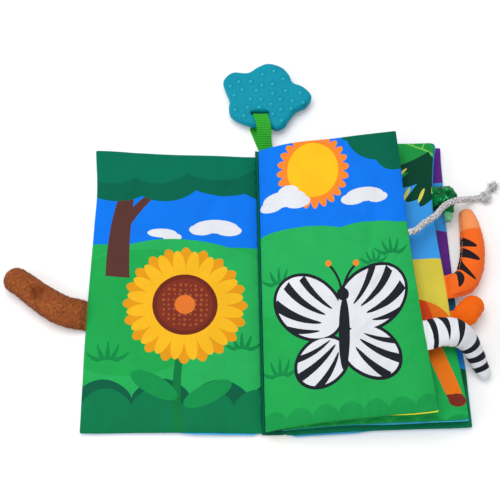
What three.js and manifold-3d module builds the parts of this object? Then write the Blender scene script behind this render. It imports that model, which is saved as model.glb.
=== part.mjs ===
import * as THREE from 'three';
import { mergeVertices } from 'three/addons/utils/BufferGeometryUtils.js';
import Module from 'manifold-3d';

// A crinkle cloth book lying open: two covers and two inner leaves, each a flat cushion of two
// printed cloth panels over crinkle film and batting, with stuffed tails sewn into the outer
// edges and a silicone teether on a ribbon at the head of the spine.
// Millimetres. X runs from the front cover to the back cover, Y to the head of the pages, Z up.
// The origin is the middle of the spine's underside.

// Driving dimensions
const pageWidth = 134;
const coverHeight = 236;
const pageInset = 3;
const pageHeight = coverHeight - 2 * pageInset;
const spineWidth = 17;
const seatGap = 0.3;

// What a leaf is made of, from the outside in
const printedCloth = 0.8;
const seamCloth = 0.5;
const crinkleFilm = 0.3;
const batting = 1.9;
const seamBorder = 12;
const hemDraw = 1.2;
const leafHalf = (2 * printedCloth + 3 * seatGap + crinkleFilm + batting) / 2;
const seamHalf = seatGap / 2 + seamCloth;

// The spine cloth and the fold that carries the two inner leaves
const spineCloth = 0.8;
const spineFlat = 9;
const foldCloth = 0.7;
const gutterRadius = 7.1;
const foldInner = gutterRadius + seamHalf + seatGap;
const foldOuter = foldInner + foldCloth;
const foldZ = spineCloth + seatGap + foldOuter;
const firstLeafTurn = THREE.MathUtils.degToRad(204);
const secondLeafTurn = THREE.MathUtils.degToRad(323);
const foldFrom = THREE.MathUtils.degToRad(205.5);
const foldTo = THREE.MathUtils.degToRad(317);

const mix = THREE.MathUtils.lerp;
const group = new THREE.Group();

function cloth(color, roughness = 0.9) {
  return new THREE.MeshStandardMaterial({ color, roughness, metalness: 0 });
}

const finishes = {
  meadowPrint: cloth('#1fa84f'),
  skyPrint: cloth('#0a6fe8'),
  dunePrint: cloth('#e4d34b'),
  plumPrint: cloth('#5b2485'),
  coverPrint: cloth('#35b8e0'),
  spinePrint: cloth('#006b50'),
  film: cloth('#e9eef2', 0.3),
  batting: cloth('#f4f2ec'),
  stuffing: cloth('#f7f6f2'),
  brownPlush: cloth('#a5522a'),
  whiteJersey: cloth('#e6e8ef'),
  orangeVelour: cloth('#ff6e1e'),
  orangeJersey: cloth('#ff6e00'),
  greenSatin: cloth('#0b7a45', 0.35),
  rope: cloth('#b3aeb4'),
  ribbon: cloth('#23a323', 0.7),
  silicone: cloth('#009fb7', 0.5),
};

function addMesh(name, geometry, material) {
  const mesh = new THREE.Mesh(geometry, material);
  mesh.name = name;
  group.add(mesh);
}

// A closed body from points and quads; a quad with two equal corners is a triangle
class Facets {
  constructor() {
    this.points = [];
    this.indices = [];
  }

  add(point) {
    this.points.push(point.x, point.y, point.z);
    return this.points.length / 3 - 1;
  }

  quad(a, b, c, d) {
    this.indices.push(a, b, c);
    if (c !== d) this.indices.push(a, c, d);
  }

  // Joins two rows of points, each closed on itself
  band(lower, upper) {
    lower.forEach((point, k) => {
      const next = (k + 1) % lower.length;
      this.quad(point, lower[next], upper[next], upper[k]);
    });
  }

  geometry() {
    const geometry = new THREE.BufferGeometry();
    geometry.setAttribute('position', new THREE.Float32BufferAttribute(this.points, 3));
    geometry.setIndex(this.indices);
    geometry.computeVertexNormals();
    return geometry;
  }
}

// The four leaves: side is -1 for a leaf that opens to the left. Heads, feet and reaches are
// where the corners lie, as shares of the leaf's own height and of the page width.
const frontCover = {
  side: -1,
  height: coverHeight,
  innerX: spineWidth / 2 + seatGap,
  innerZ: leafHalf,
  reachShares: [1.007, 0.977],
  innerShares: [-0.496, 0.476],
  outerShares: [-0.486, 0.512],
  footLift: 0,
  headLift: 0,
  footArch: 0,
  headArch: 0,
  drawnIn: 2.4,
  waistShare: 0.77,
};

const backCover = {
  side: 1,
  height: coverHeight,
  innerX: spineWidth / 2 + seatGap,
  innerZ: leafHalf,
  reachShares: [1.014, 1.004],
  innerShares: [-0.503, 0.498],
  outerShares: [-0.49, 0.519],
  footLift: 0,
  headLift: 0,
  footArch: 0,
  headArch: 0,
  drawnIn: 1.8,
  waistShare: 0.75,
};

const secondLeaf = {
  side: 1,
  height: pageHeight,
  innerX: gutterRadius * Math.cos(secondLeafTurn),
  innerZ: foldZ + gutterRadius * Math.sin(secondLeafTurn),
  reachShares: [1.021, 0.974],
  innerShares: [-0.504, 0.5],
  outerShares: [-0.4865, 0.517],
  footLift: 6.4,
  headLift: 9.4,
  footArch: 2.5,
  headArch: 2.5,
  drawnIn: 7.5,
  waistShare: 0.72,
};

const firstLeaf = {
  side: 1,
  height: pageHeight,
  innerX: gutterRadius * Math.cos(firstLeafTurn),
  innerZ: foldZ + gutterRadius * Math.sin(firstLeafTurn),
  reachShares: [0.932, 0.815],
  innerShares: [-0.511, 0.501],
  outerShares: [-0.469, 0.509],
  footLift: 18,
  headLift: 28,
  footArch: 5,
  headArch: 6,
  drawnIn: 2,
  waistShare: 0.55,
};

const archShare = 0.6;

// The middle surface of a leaf: u runs from the gutter to the outer edge, v from foot to head.
// The outer edge is drawn in at its waist, and the leaf swells up beside the gutter.
function leafPoint(leaf, u, v) {
  const waist = Math.sin(Math.PI * v ** (Math.log(0.5) / Math.log(leaf.waistShare)));
  const reach = mix(...leaf.reachShares, v) * pageWidth - leaf.drawnIn * waist;
  const innerY = mix(...leaf.innerShares, v) * leaf.height;
  const outerY = mix(...leaf.outerShares, v) * leaf.height;
  const hem = hemDraw * Math.sin(Math.PI * u) * (2 * v - 1);
  const arch = mix(leaf.footArch, leaf.headArch, v) * Math.sin(Math.PI * u ** archShare);
  return new THREE.Vector3(
    leaf.side * leaf.innerX + leaf.side * reach * u,
    mix(innerY, outerY, u) - hem,
    leaf.innerZ + mix(leaf.footLift, leaf.headLift, v) * u + arch,
  );
}

function leafNormal(leaf, u, v) {
  const step = 0.02;
  const across = leafPoint(leaf, Math.min(u + step, 1), v);
  across.sub(leafPoint(leaf, Math.max(u - step, 0), v));
  const along = leafPoint(leaf, u, Math.min(v + step, 1));
  along.sub(leafPoint(leaf, u, Math.max(v - step, 0)));
  return across.cross(along).normalize().multiplyScalar(leaf.side);
}

// How far a leaf has swollen, from 0 at its edge seams to 1 past the border
function puff(share, length) {
  const depth = Math.min(Math.min(share, 1 - share) * length / seamBorder, 1);
  return 1 - (1 - depth) ** 2;
}

// Grid lines over a share of 0 to 1: two in each border, the rest evenly between them
function gridLines(length, inner, withBorder) {
  const border = seamBorder / length;
  const lines = [];
  for (let i = 0; i <= inner; i += 1) lines.push(mix(border, 1 - border, i / inner));
  if (!withBorder) return lines;
  return [0, border / 3, ...lines, 1 - border / 3, 1];
}

const innerColumns = 5;
const innerRows = 6;

// A sheet of a leaf between two heights over its middle surface, given in the puffed middle
// and at the edge seam
function leafSheet(leaf, low, high, lowAtSeam = low, highAtSeam = high, withBorder = false) {
  const facets = new Facets();
  const columns = gridLines(pageWidth, innerColumns, withBorder);
  const rows = gridLines(leaf.height, innerRows, withBorder);
  const layer = (middle, seam) => rows.map((v) => columns.map((u) => {
    const swell = puff(u, pageWidth) * puff(v, leaf.height);
    const height = mix(seam, middle, swell);
    return facets.add(leafPoint(leaf, u, v).addScaledVector(leafNormal(leaf, u, v), height));
  }));
  const bottom = layer(low, lowAtSeam);
  const top = layer(high, highAtSeam);
  const turned = leaf.side < 0;
  const quad = (a, b, c, d) => (turned ? facets.quad(d, c, b, a) : facets.quad(a, b, c, d));
  for (let j = 0; j + 1 < rows.length; j += 1) {
    for (let i = 0; i + 1 < columns.length; i += 1) {
      quad(top[j][i], top[j][i + 1], top[j + 1][i + 1], top[j + 1][i]);
      quad(bottom[j][i], bottom[j + 1][i], bottom[j + 1][i + 1], bottom[j][i + 1]);
    }
  }
  const lastRow = rows.length - 1;
  const lastColumn = columns.length - 1;
  for (let i = 0; i < lastColumn; i += 1) {
    quad(bottom[0][i], bottom[0][i + 1], top[0][i + 1], top[0][i]);
    quad(bottom[lastRow][i + 1], bottom[lastRow][i], top[lastRow][i], top[lastRow][i + 1]);
  }
  for (let j = 0; j < lastRow; j += 1) {
    quad(bottom[j + 1][0], bottom[j][0], top[j][0], top[j + 1][0]);
    quad(bottom[j][lastColumn], bottom[j + 1][lastColumn], top[j + 1][lastColumn], top[j][lastColumn]);
  }
  return facets.geometry();
}

// A leaf's four layers: two printed panels that meet at the edge seam, film and batting inside
function addLeaf(name, leaf, upperFinish, lowerFinish) {
  const innerFace = leafHalf - printedCloth;
  const seamFace = seatGap / 2;
  const filmTop = innerFace - seatGap;
  const battingTop = filmTop - crinkleFilm - seatGap;
  addMesh(`${name}_upper_panel`,
    leafSheet(leaf, innerFace, leafHalf, seamFace, seamHalf, true), upperFinish);
  addMesh(`${name}_lower_panel`,
    leafSheet(leaf, -leafHalf, -innerFace, -seamHalf, -seamFace, true), lowerFinish);
  addMesh(`${name}_crinkle_film`, leafSheet(leaf, filmTop - crinkleFilm, filmTop), finishes.film);
  addMesh(`${name}_batting`, leafSheet(leaf, battingTop - batting, battingTop), finishes.batting);
}

addLeaf('front_cover', frontCover, finishes.meadowPrint, finishes.coverPrint);
addLeaf('back_cover', backCover, finishes.plumPrint, finishes.coverPrint);
addLeaf('first_leaf', firstLeaf, finishes.meadowPrint, finishes.skyPrint);
addLeaf('second_leaf', secondLeaf, finishes.dunePrint, finishes.skyPrint);

// A strip of cloth with a profile in X and Z, running from foot to head
function clothStrip(profile, length) {
  const shape = new THREE.Shape(profile.map(([x, z]) => new THREE.Vector2(x, z)));
  const geometry = new THREE.ExtrudeGeometry(shape, { depth: length, bevelEnabled: false });
  geometry.rotateX(Math.PI / 2);
  geometry.translate(0, length / 2, 0);
  return geometry;
}

// Spine cloth: flat on the table in the middle, its sides rising to the covers' edge seams
function spineProfile() {
  const rise = leafHalf - spineCloth / 2;
  const run = (spineWidth - spineFlat) / 2;
  const lower = [];
  const upper = [];
  const sideSteps = 3;
  for (let i = -sideSteps; i <= sideSteps; i += 1) {
    if (i !== 0) {
      const share = (Math.abs(i) - 1) / (sideSteps - 1);
      const x = Math.sign(i) * (spineFlat / 2 + run * share);
      lower.push([x, rise * share ** 2]);
      upper.unshift([x, rise * share ** 2 + spineCloth]);
    }
  }
  return [...lower, ...upper];
}

addMesh('spine_cloth', clothStrip(spineProfile(), coverHeight), finishes.spinePrint);

// The fold of the inner sheet: a half-round cradle in which both inner leaves turn
function foldProfile() {
  const steps = 10;
  const outer = [];
  const inner = [];
  for (let i = 0; i <= steps; i += 1) {
    const turn = mix(foldFrom, foldTo, i / steps);
    outer.push([foldOuter * Math.cos(turn), foldZ + foldOuter * Math.sin(turn)]);
    inner.unshift([foldInner * Math.cos(turn), foldZ + foldInner * Math.sin(turn)]);
  }
  return [...outer, ...inner];
}

addMesh('inner_sheet_fold', clothStrip(foldProfile(), pageHeight), finishes.spinePrint);

// Stuffed tails. A route starts at the leaf's edge seam; its shares of the tail's reach run out
// from the edge and towards the head. Sides are the shares of the width to the left and right of
// the route, and the last one is where the round tip begins. A lift of 1 is the seam's height,
// and at 0 the tail lies on the table.
const tailCloth = 0.8;
const tailGap = 0.6;
const brownReach = 48;
const brownWidth = 23;
const brownThickness = 17;
const whiteReach = 46;
const whiteWidth = 23;
const whiteThickness = 14;
const stripedReach = 26;
const stripedWidth = 19.5;
const stripedThickness = 16;
const plainReach = 22;
const plainWidth = 20;
const plainThickness = 12;
const satinReach = 13;
const satinWidth = 17;
const satinThickness = 9;
const tailSides = 10;
const tailStations = 9;
const tipRings = 3;

const tails = [
  {
    name: 'brown_plush_tail',
    leaf: frontCover,
    seatShare: -0.0966,
    reach: brownReach,
    width: brownWidth,
    thickness: brownThickness,
    finish: finishes.brownPlush,
    routeShares: [[0, 0], [0.25, 0.03], [0.5, 0.12], [0.74, 0.27], [0.94, 0.43], [1, 0.48]],
    leftShares: [0.5, 0.5, 0.47, 0.44, 0.42, 0.41],
    rightShares: [0.51, 0.49, 0.47, 0.44, 0.42, 0.41],
    thickShares: [0.36, 0.8, 0.98, 1, 0.98, 0.94],
    liftShares: [0, 0, 0, 0, 0, 0],
  },
  {
    name: 'white_striped_tail',
    leaf: firstLeaf,
    seatShare: -0.2239,
    reach: whiteReach,
    width: whiteWidth,
    thickness: whiteThickness,
    finish: finishes.whiteJersey,
    routeShares: [[0, 0], [0.24, 0.05], [0.48, 0.04], [0.66, -0.03], [0.8, -0.19], [0.91, -0.37], [0.98, -0.5]],
    leftShares: [0.5, 0.5, 0.5, 0.4, 0.33, 0.28, 0.23],
    rightShares: [0.5, 0.48, 0.48, 0.38, 0.32, 0.28, 0.23],
    thickShares: [0.45, 0.85, 1, 0.95, 0.86, 0.76, 0.68],
    liftShares: [1, 0.99, 0.93, 0.68, 0.34, 0.1, 0],
  },
  {
    name: 'orange_striped_tail',
    leaf: secondLeaf,
    seatShare: -0.0357,
    reach: stripedReach,
    width: stripedWidth,
    thickness: stripedThickness,
    finish: finishes.orangeVelour,
    routeShares: [[0, 0], [0.3, 0.08], [0.56, 0.25], [0.79, 0.64], [0.91, 1.1], [0.95, 1.6], [0.92, 2.1], [0.87, 2.4]],
    leftShares: [0.49, 0.5, 0.5, 0.46, 0.45, 0.43, 0.37, 0.31],
    rightShares: [0.49, 0.5, 0.52, 0.5, 0.46, 0.43, 0.36, 0.3],
    thickShares: [0.45, 0.75, 0.92, 1, 1, 0.95, 0.82, 0.7],
    liftShares: [1, 0.85, 0.35, 0, 0, 0, 0, 0],
  },
  {
    name: 'plain_orange_tail',
    leaf: secondLeaf,
    seatShare: -0.1409,
    reach: plainReach,
    width: plainWidth,
    thickness: plainThickness,
    finish: finishes.orangeJersey,
    routeShares: [[0, 0], [0.22, 0.11], [0.45, 0.24], [0.68, 0.36], [0.84, 0.43]],
    leftShares: [0.2, 0.36, 0.5, 0.52, 0.42],
    rightShares: [0.2, 0.38, 0.5, 0.5, 0.38],
    thickShares: [0.42, 0.75, 1, 1, 0.85],
    liftShares: [1, 0.95, 0.85, 0.7, 0.6],
  },
  {
    name: 'green_satin_tail',
    leaf: secondLeaf,
    seatShare: 0.2957,
    reach: satinReach,
    width: satinWidth,
    thickness: satinThickness,
    finish: finishes.greenSatin,
    routeShares: [[0, 0], [0.33, -0.02], [0.7, -0.2], [0.93, -0.6], [0.97, -1.0], [0.95, -1.28]],
    leftShares: [0.5, 0.56, 0.62, 0.42, 0.29, 0.22],
    rightShares: [0.5, 0.44, 0.35, 0.27, 0.24, 0.21],
    thickShares: [0.7, 1, 1, 0.92, 0.82, 0.72],
    liftShares: [1, 0.96, 0.84, 0.7, 0.6, 0.55],
  },
];

function leafEdge(leaf, y) {
  const foot = leaf.outerShares[0] * leaf.height;
  const head = leaf.outerShares[1] * leaf.height;
  return leafPoint(leaf, 1, (y - foot) / (head - foot));
}

// Rings of points around a tail, drawn in by an inset, then the rings of its round tip
function tailRings(tail, facets, inset) {
  const { leaf } = tail;
  const seatY = tail.seatShare * leaf.height;
  const seam = leafEdge(leaf, seatY);
  const route = new THREE.CatmullRomCurve3(tail.routeShares.map(([out, up]) => new THREE.Vector3(
    seam.x + leaf.side * (tailGap + out * tail.reach), seatY + up * tail.reach, 0)));
  const sizes = new THREE.CatmullRomCurve3(tail.leftShares.map((left, i) => new THREE.Vector3(
    left * tail.width, tail.rightShares[i] * tail.width, tail.thickShares[i] * tail.thickness / 2)));
  const lifts = new THREE.CatmullRomCurve3(tail.liftShares.map((lift) => new THREE.Vector3(0, 0, lift)));
  const up = new THREE.Vector3(0, 0, 1);
  const centreAt = (t) => {
    const lying = sizes.getPoint(t).z + seatGap;
    return route.getPoint(t).setZ(mix(lying, seam.z, Math.max(lifts.getPoint(t).z, 0)));
  };
  const ring = (centre, tangent, left, right, thick) => {
    const across = new THREE.Vector3().crossVectors(up, tangent).normalize();
    const over = new THREE.Vector3().crossVectors(tangent, across).normalize();
    return Array.from({ length: tailSides }, (_, k) => {
      const turn = (2 * Math.PI * k) / tailSides;
      const side = Math.cos(turn) > 0 ? left : right;
      return centre.clone()
        .addScaledVector(across, side * Math.cos(turn))
        .addScaledVector(over, thick * Math.sin(turn));
    });
  };
  const rings = [];
  const step = 1 / (tailStations - 1);
  for (let i = 0; i < tailStations; i += 1) {
    const t = i * step;
    const tangent = centreAt(Math.min(t + step / 2, 1)).sub(centreAt(Math.max(t - step / 2, 0)));
    if (i === 0) tangent.set(leaf.side, 0, 0);
    const size = sizes.getPoint(t);
    rings.push(ring(centreAt(t), tangent.normalize(), size.x - inset, size.y - inset, size.z - inset));
  }
  rings[0].forEach((point) => point.setX(leafEdge(leaf, point.y).x + leaf.side * tailGap));
  const end = centreAt(1);
  const tangent = end.clone().sub(centreAt(1 - step / 2)).normalize();
  const size = sizes.getPoint(1);
  const tip = (size.x + size.y) / 2 - inset;
  for (let i = 1; i < tipRings; i += 1) {
    const turn = (Math.PI / 2) * (i / tipRings);
    const scale = Math.cos(turn);
    const centre = end.clone().addScaledVector(tangent, tip * Math.sin(turn));
    rings.push(ring(centre, tangent, (size.x - inset) * scale, (size.y - inset) * scale,
      (size.z - inset) * scale));
  }
  const rows = rings.map((points) => points.map((point) => facets.add(point)));
  const pole = facets.add(end.addScaledVector(tangent, tip));
  rows.push(Array(tailSides).fill(pole));
  return rows;
}

function skin(facets, rows, outwards) {
  for (let i = 0; i + 1 < rows.length; i += 1) {
    const last = i + 2 === rows.length;
    rows[i].forEach((point, k) => {
      const next = (k + 1) % tailSides;
      const far = last ? rows[i + 1][k] : rows[i + 1][next];
      if (outwards) facets.quad(point, rows[i][next], far, rows[i + 1][k]);
      else if (last) facets.quad(rows[i][next], point, far, far);
      else facets.quad(point, rows[i + 1][k], far, rows[i][next]);
    });
  }
}

// The sewn cover, open at the seam, and the stuffing inside it
function addTail(tail) {
  const cover = new Facets();
  const outer = tailRings(tail, cover, 0);
  const inner = tailRings(tail, cover, tailCloth);
  skin(cover, outer, true);
  skin(cover, inner, false);
  cover.band(inner[0], outer[0]);
  addMesh(`${tail.name}_cover`, cover.geometry(), tail.finish);
  const filling = new Facets();
  const rows = tailRings(tail, filling, tailCloth + seatGap);
  skin(filling, rows, true);
  for (let k = 1; k + 1 < tailSides; k += 1) {
    filling.quad(rows[0][0], rows[0][k + 1], rows[0][k], rows[0][k]);
  }
  addMesh(`${tail.name}_stuffing`, filling.geometry(), finishes.stuffing);
}

tails.forEach(addTail);

// The braided rope tail leaves the first leaf's edge, drops over the satin tail and runs out
// along the table to its knot
const ropeDiameter = 5.2;
const ropeSides = 8;
const ropeSteps = 34;
const ropeSeatShare = 0.1322;
const ropeSeatGap = 1.2;
const ropeReach = 65;
const ropeSeat = leafEdge(firstLeaf, ropeSeatShare * pageHeight);
ropeSeat.x += ropeSeatGap;

// Shares of the rope's reach out from its seat and towards the head, and of the seat's height
// above the rope lying on the table
const ropeShares = [
  [0, 0, 1], [0.08, 0, 1], [0.155, 0.105, 0.982], [0.246, 0.177, 0.904],
  [0.341, 0.254, 0.826], [0.414, 0.348, 0.759], [0.497, 0.425, 0.691], [0.595, 0.477, 0.62],
  [0.704, 0.529, 0.429], [0.803, 0.597, 0.124], [0.886, 0.629, 0], [0.969, 0.638, 0],
];

const ropeRoute = new THREE.CatmullRomCurve3(ropeShares.map(([out, up, lift]) => new THREE.Vector3(
  ropeSeat.x + out * ropeReach,
  ropeSeat.y + up * ropeReach,
  mix(ropeDiameter / 2 + seatGap, ropeSeat.z, lift),
)));

function ropeSection(radius) {
  return new THREE.Shape(Array.from({ length: ropeSides }, (_, k) => new THREE.Vector2(
    radius * Math.cos((2 * Math.PI * k) / ropeSides), radius * Math.sin((2 * Math.PI * k) / ropeSides))));
}

addMesh('rope_tail', new THREE.ExtrudeGeometry(ropeSection(ropeDiameter / 2),
  { steps: ropeSteps, extrudePath: ropeRoute }), finishes.rope);

// Knot and frayed tassel at the rope's end: a profile turned about the rope's last direction
const knotWidth = 11;
const knotLength = 9;
const tasselLength = 13;
const tasselWidth = 12;
const tasselFlatShare = 0.6;
const knotSides = 12;
const tasselTurn = THREE.MathUtils.degToRad(50);

// The middle line bends through the knot and runs straight on through the tassel
function bentPlace(along, across) {
  const turn = tasselTurn * Math.min(along / knotLength, 1);
  const radius = knotLength / tasselTurn;
  const rest = Math.max(along - knotLength, 0);
  return [
    radius * Math.sin(turn) + rest * Math.cos(turn) - across * Math.sin(turn),
    radius * (1 - Math.cos(turn)) + rest * Math.sin(turn) + across * Math.cos(turn),
  ];
}

function knotAndTassel() {
  const length = knotLength + tasselLength;
  const profile = [
    [0, 0], [ropeDiameter / 2, 0], [knotWidth * 0.42, knotLength * 0.2], [knotWidth / 2, knotLength * 0.5],
    [knotWidth * 0.4, knotLength * 0.82], [ropeDiameter * 0.58, knotLength],
    [tasselWidth * 0.34, knotLength + tasselLength * 0.35], [tasselWidth / 2, knotLength + tasselLength * 0.8],
    [tasselWidth * 0.4, length], [0, length],
  ].map(([radius, along]) => new THREE.Vector2(radius, along));
  const geometry = new THREE.LatheGeometry(profile, knotSides);
  const place = geometry.attributes.position;
  for (let i = 0; i < place.count; i += 1) {
    const [x, y] = bentPlace(place.getY(i), -place.getX(i));
    place.setXYZ(i, x, y, place.getZ(i) * tasselFlatShare);
  }
  const end = ropeRoute.getPoint(1);
  const run = ropeRoute.getTangent(1);
  geometry.rotateZ(Math.atan2(run.y, run.x));
  const low = (knotWidth / 2) * tasselFlatShare + seatGap;
  geometry.translate(end.x + seatGap, end.y, Math.max(end.z, low));
  return closed(geometry);
}

function closed(geometry) {
  geometry.deleteAttribute('uv');
  geometry.deleteAttribute('normal');
  return mergeVertices(geometry);
}

addMesh('rope_knot_and_tassel', knotAndTassel(), finishes.rope);

// Silicone teether: a lobed plate with rounded edges, a slot for the ribbon and round bumps.
// The ribbon grips the bar between the slot and the foot edge, and the teether turns about it.
const teetherWidth = 74;
const teetherHeight = 64;
const teetherThickness = 8.8;
const ribbonReach = 24.9;
const ribbonWidthShare = 0.162;
const ribbonCloth = 0.9;
const ribbonInner = 6;
const teetherX = 2.2;
const barY = coverHeight / 2 + ribbonReach;
const barZ = ribbonInner + ribbonCloth + 0.1;
const barWidthShare = 0.147;
const barShare = -0.3688;
const slotWidthShare = 0.2973;
const slotHeightShare = 0.1563;
const slotShare = -0.1338;
const edgeRoundShare = 0.0531;
const barWidth = barWidthShare * teetherHeight;
const slotWidth = slotWidthShare * teetherWidth;
const slotHeight = slotHeightShare * teetherHeight;
const ribbonWidth = ribbonWidthShare * teetherWidth;
const slotX = teetherX + slotShare * teetherWidth;
const teetherY = barY - barShare * teetherHeight;
const edgeRound = edgeRoundShare * Math.min(teetherWidth, teetherHeight);
const bumpHeight = 1;
const bumpRadius = 2;
const bumpPitch = 11.4;
const bumpTurn = THREE.MathUtils.degToRad(14);
const teetherTilt = THREE.MathUtils.degToRad(1);
const outlinePoints = 60;

// Corners of the lobes and the hollows between them, as shares of the width and the height
const lobeShares = [
  [-0.497, 0.243], [-0.396, 0.368], [-0.214, 0.362], [-0.099, 0.451], [0.018, 0.5], [0.175, 0.434],
  [0.252, 0.321], [0.291, 0.204], [0.406, 0.133], [0.496, -0.008], [0.441, -0.149], [0.315, -0.238],
  [0.245, -0.342], [0.18, -0.455], [0.099, -0.5], [-0.009, -0.452], [-0.184, -0.441],
  [-0.337, -0.365], [-0.42, -0.282], [-0.439, -0.18], [-0.43, -0.055], [-0.472, 0.094],
];

const teetherOutline = new THREE.CatmullRomCurve3(lobeShares.map(([x, y]) => new THREE.Vector3(
  teetherX + x * teetherWidth, teetherY + y * teetherHeight, 0)), true)
  .getPoints(outlinePoints)
  .slice(0, outlinePoints)
  .map((point) => new THREE.Vector2(point.x, point.y));

const slotY = barY + barWidth / 2 + slotHeight / 2;

function slotPath() {
  const path = new THREE.Path();
  const radius = slotHeight / 2;
  const run = slotWidth / 2 - radius;
  path.absarc(slotX + run, slotY, radius, -Math.PI / 2, Math.PI / 2, false);
  path.absarc(slotX - run, slotY, radius, Math.PI / 2, (3 * Math.PI) / 2, false);
  return path;
}

function nearestEdge(x, y) {
  return Math.min(...teetherOutline.map((point) => Math.hypot(point.x - x, point.y - y)));
}

function insideOutline(x, y) {
  return teetherOutline.reduce((inside, a, k) => {
    const b = teetherOutline[(k + 1) % teetherOutline.length];
    const crosses = (a.y > y) !== (b.y > y) && x < a.x + ((y - a.y) / (b.y - a.y)) * (b.x - a.x);
    return crosses ? !inside : inside;
  }, false);
}

// Bumps on a turned square lattice, wherever they stand clear of the edge and the slot
function bumpPlaces() {
  const places = [];
  const count = Math.ceil(teetherWidth / bumpPitch);
  for (let i = -count; i <= count; i += 1) {
    for (let j = -count; j <= count; j += 1) {
      const shift = (j % 2) * bumpPitch / 2;
      const spot = new THREE.Vector2(i * bumpPitch + shift, j * bumpPitch).rotateAround(
        new THREE.Vector2(), bumpTurn);
      const x = teetherX + spot.x;
      const y = teetherY + spot.y;
      const slotGap = Math.hypot(Math.max(Math.abs(x - slotX) - slotWidth / 2 + slotHeight / 2, 0), y - slotY)
        - slotHeight / 2;
      const ribbonGap = Math.max(Math.abs(x - slotX) - slotWidth / 2, y - slotY);
      const clear = insideOutline(x, y) && nearestEdge(x, y) > edgeRound + bumpRadius * 0.5;
      if (clear && slotGap > edgeRound && ribbonGap > bumpRadius) places.push([x, y]);
    }
  }
  return places;
}

const wasm = await Module();
wasm.setup();

function toSolid(geometry) {
  const merged = closed(geometry);
  return new wasm.Manifold(new wasm.Mesh({
    numProp: 3,
    vertProperties: Float32Array.from(merged.attributes.position.array),
    triVerts: Uint32Array.from(merged.index.array),
  }));
}

function fromSolid(solid) {
  const mesh = solid.getMesh();
  const geometry = new THREE.BufferGeometry();
  geometry.setAttribute('position', new THREE.BufferAttribute(mesh.vertProperties, 3));
  geometry.setIndex(new THREE.BufferAttribute(mesh.triVerts, 1));
  geometry.computeVertexNormals();
  return geometry;
}

function teether() {
  const shape = new THREE.Shape(teetherOutline);
  shape.holes.push(slotPath());
  const plate = new THREE.ExtrudeGeometry(shape, {
    depth: teetherThickness - 2 * edgeRound,
    bevelThickness: edgeRound,
    bevelSize: edgeRound,
    bevelOffset: -edgeRound,
    bevelSegments: 3,
    curveSegments: 5,
  });
  plate.translate(0, 0, barZ - teetherThickness / 2 + edgeRound);
  let solid = toSolid(plate);
  const ballRadius = (bumpRadius ** 2 + bumpHeight ** 2) / (2 * bumpHeight);
  const sink = teetherThickness / 2 + bumpHeight - ballRadius;
  bumpPlaces().forEach(([x, y]) => {
    [-1, 1].forEach((face) => {
      const ball = new THREE.SphereGeometry(ballRadius, 8, 6);
      ball.rotateX(Math.PI / 2);
      ball.translate(x, y, barZ + face * sink);
      solid = solid.add(toSolid(ball));
    });
  });
  const geometry = fromSolid(solid);
  geometry.translate(0, -barY, -barZ);
  geometry.rotateX(-teetherTilt);
  geometry.translate(0, barY, barZ);
  return geometry;
}

addMesh('teether', teether(), finishes.silicone);

// Grosgrain ribbon loop: two strands sewn together at the spine's head, folded round the bar.
// It leans to the left on its way up, and the lower strand more than the upper.
const ribbonBaseY = coverHeight / 2 + seatGap;
const ribbonStitch = 3;
const ribbonBaseX = -0.3;
const ribbonLean = 5.3;
const ribbonTwist = 5;
const bightSteps = 10;

function ribbonLoop() {
  const length = barY - ribbonBaseY;
  const outerRadius = ribbonInner + ribbonCloth;
  const bight = (radius) => Array.from({ length: bightSteps + 1 }, (_, k) => {
    const turn = mix(-Math.PI / 2, Math.PI / 2, k / bightSteps);
    return new THREE.Vector2(barY + radius * Math.cos(turn), barZ + radius * Math.sin(turn));
  });
  const floor = barZ - outerRadius;
  const shape = new THREE.Shape([
    new THREE.Vector2(ribbonBaseY, floor),
    new THREE.Vector2(ribbonBaseY + ribbonStitch, floor),
    ...bight(outerRadius),
    new THREE.Vector2(ribbonBaseY + ribbonStitch, floor + 2 * ribbonCloth + 2 * seatGap),
    new THREE.Vector2(ribbonBaseY, floor + 2 * ribbonCloth),
  ]);
  shape.holes.push(new THREE.Path([
    new THREE.Vector2(ribbonBaseY + ribbonStitch, floor + ribbonCloth),
    ...bight(ribbonInner),
  ]));
  const geometry = new THREE.ExtrudeGeometry(shape, { depth: ribbonWidth, bevelEnabled: false });
  const place = geometry.attributes.position;
  for (let i = 0; i < place.count; i += 1) {
    const y = place.getX(i);
    const z = place.getY(i);
    const along = (y - ribbonBaseY) / length;
    const lowered = THREE.MathUtils.clamp((barZ + outerRadius - z) / (2 * outerRadius), 0, 1);
    const x = ribbonBaseX - ribbonWidth / 2 + place.getZ(i);
    place.setXYZ(i, x - ribbonLean * along - ribbonTwist * lowered * along, y, z);
  }
  return closed(geometry);
}

addMesh('ribbon_loop', ribbonLoop(), finishes.ribbon);

export default group;
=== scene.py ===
import math
import bpy
import numpy as np
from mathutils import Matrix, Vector
from mathutils.geometry import delaunay_2d_cdt


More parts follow.
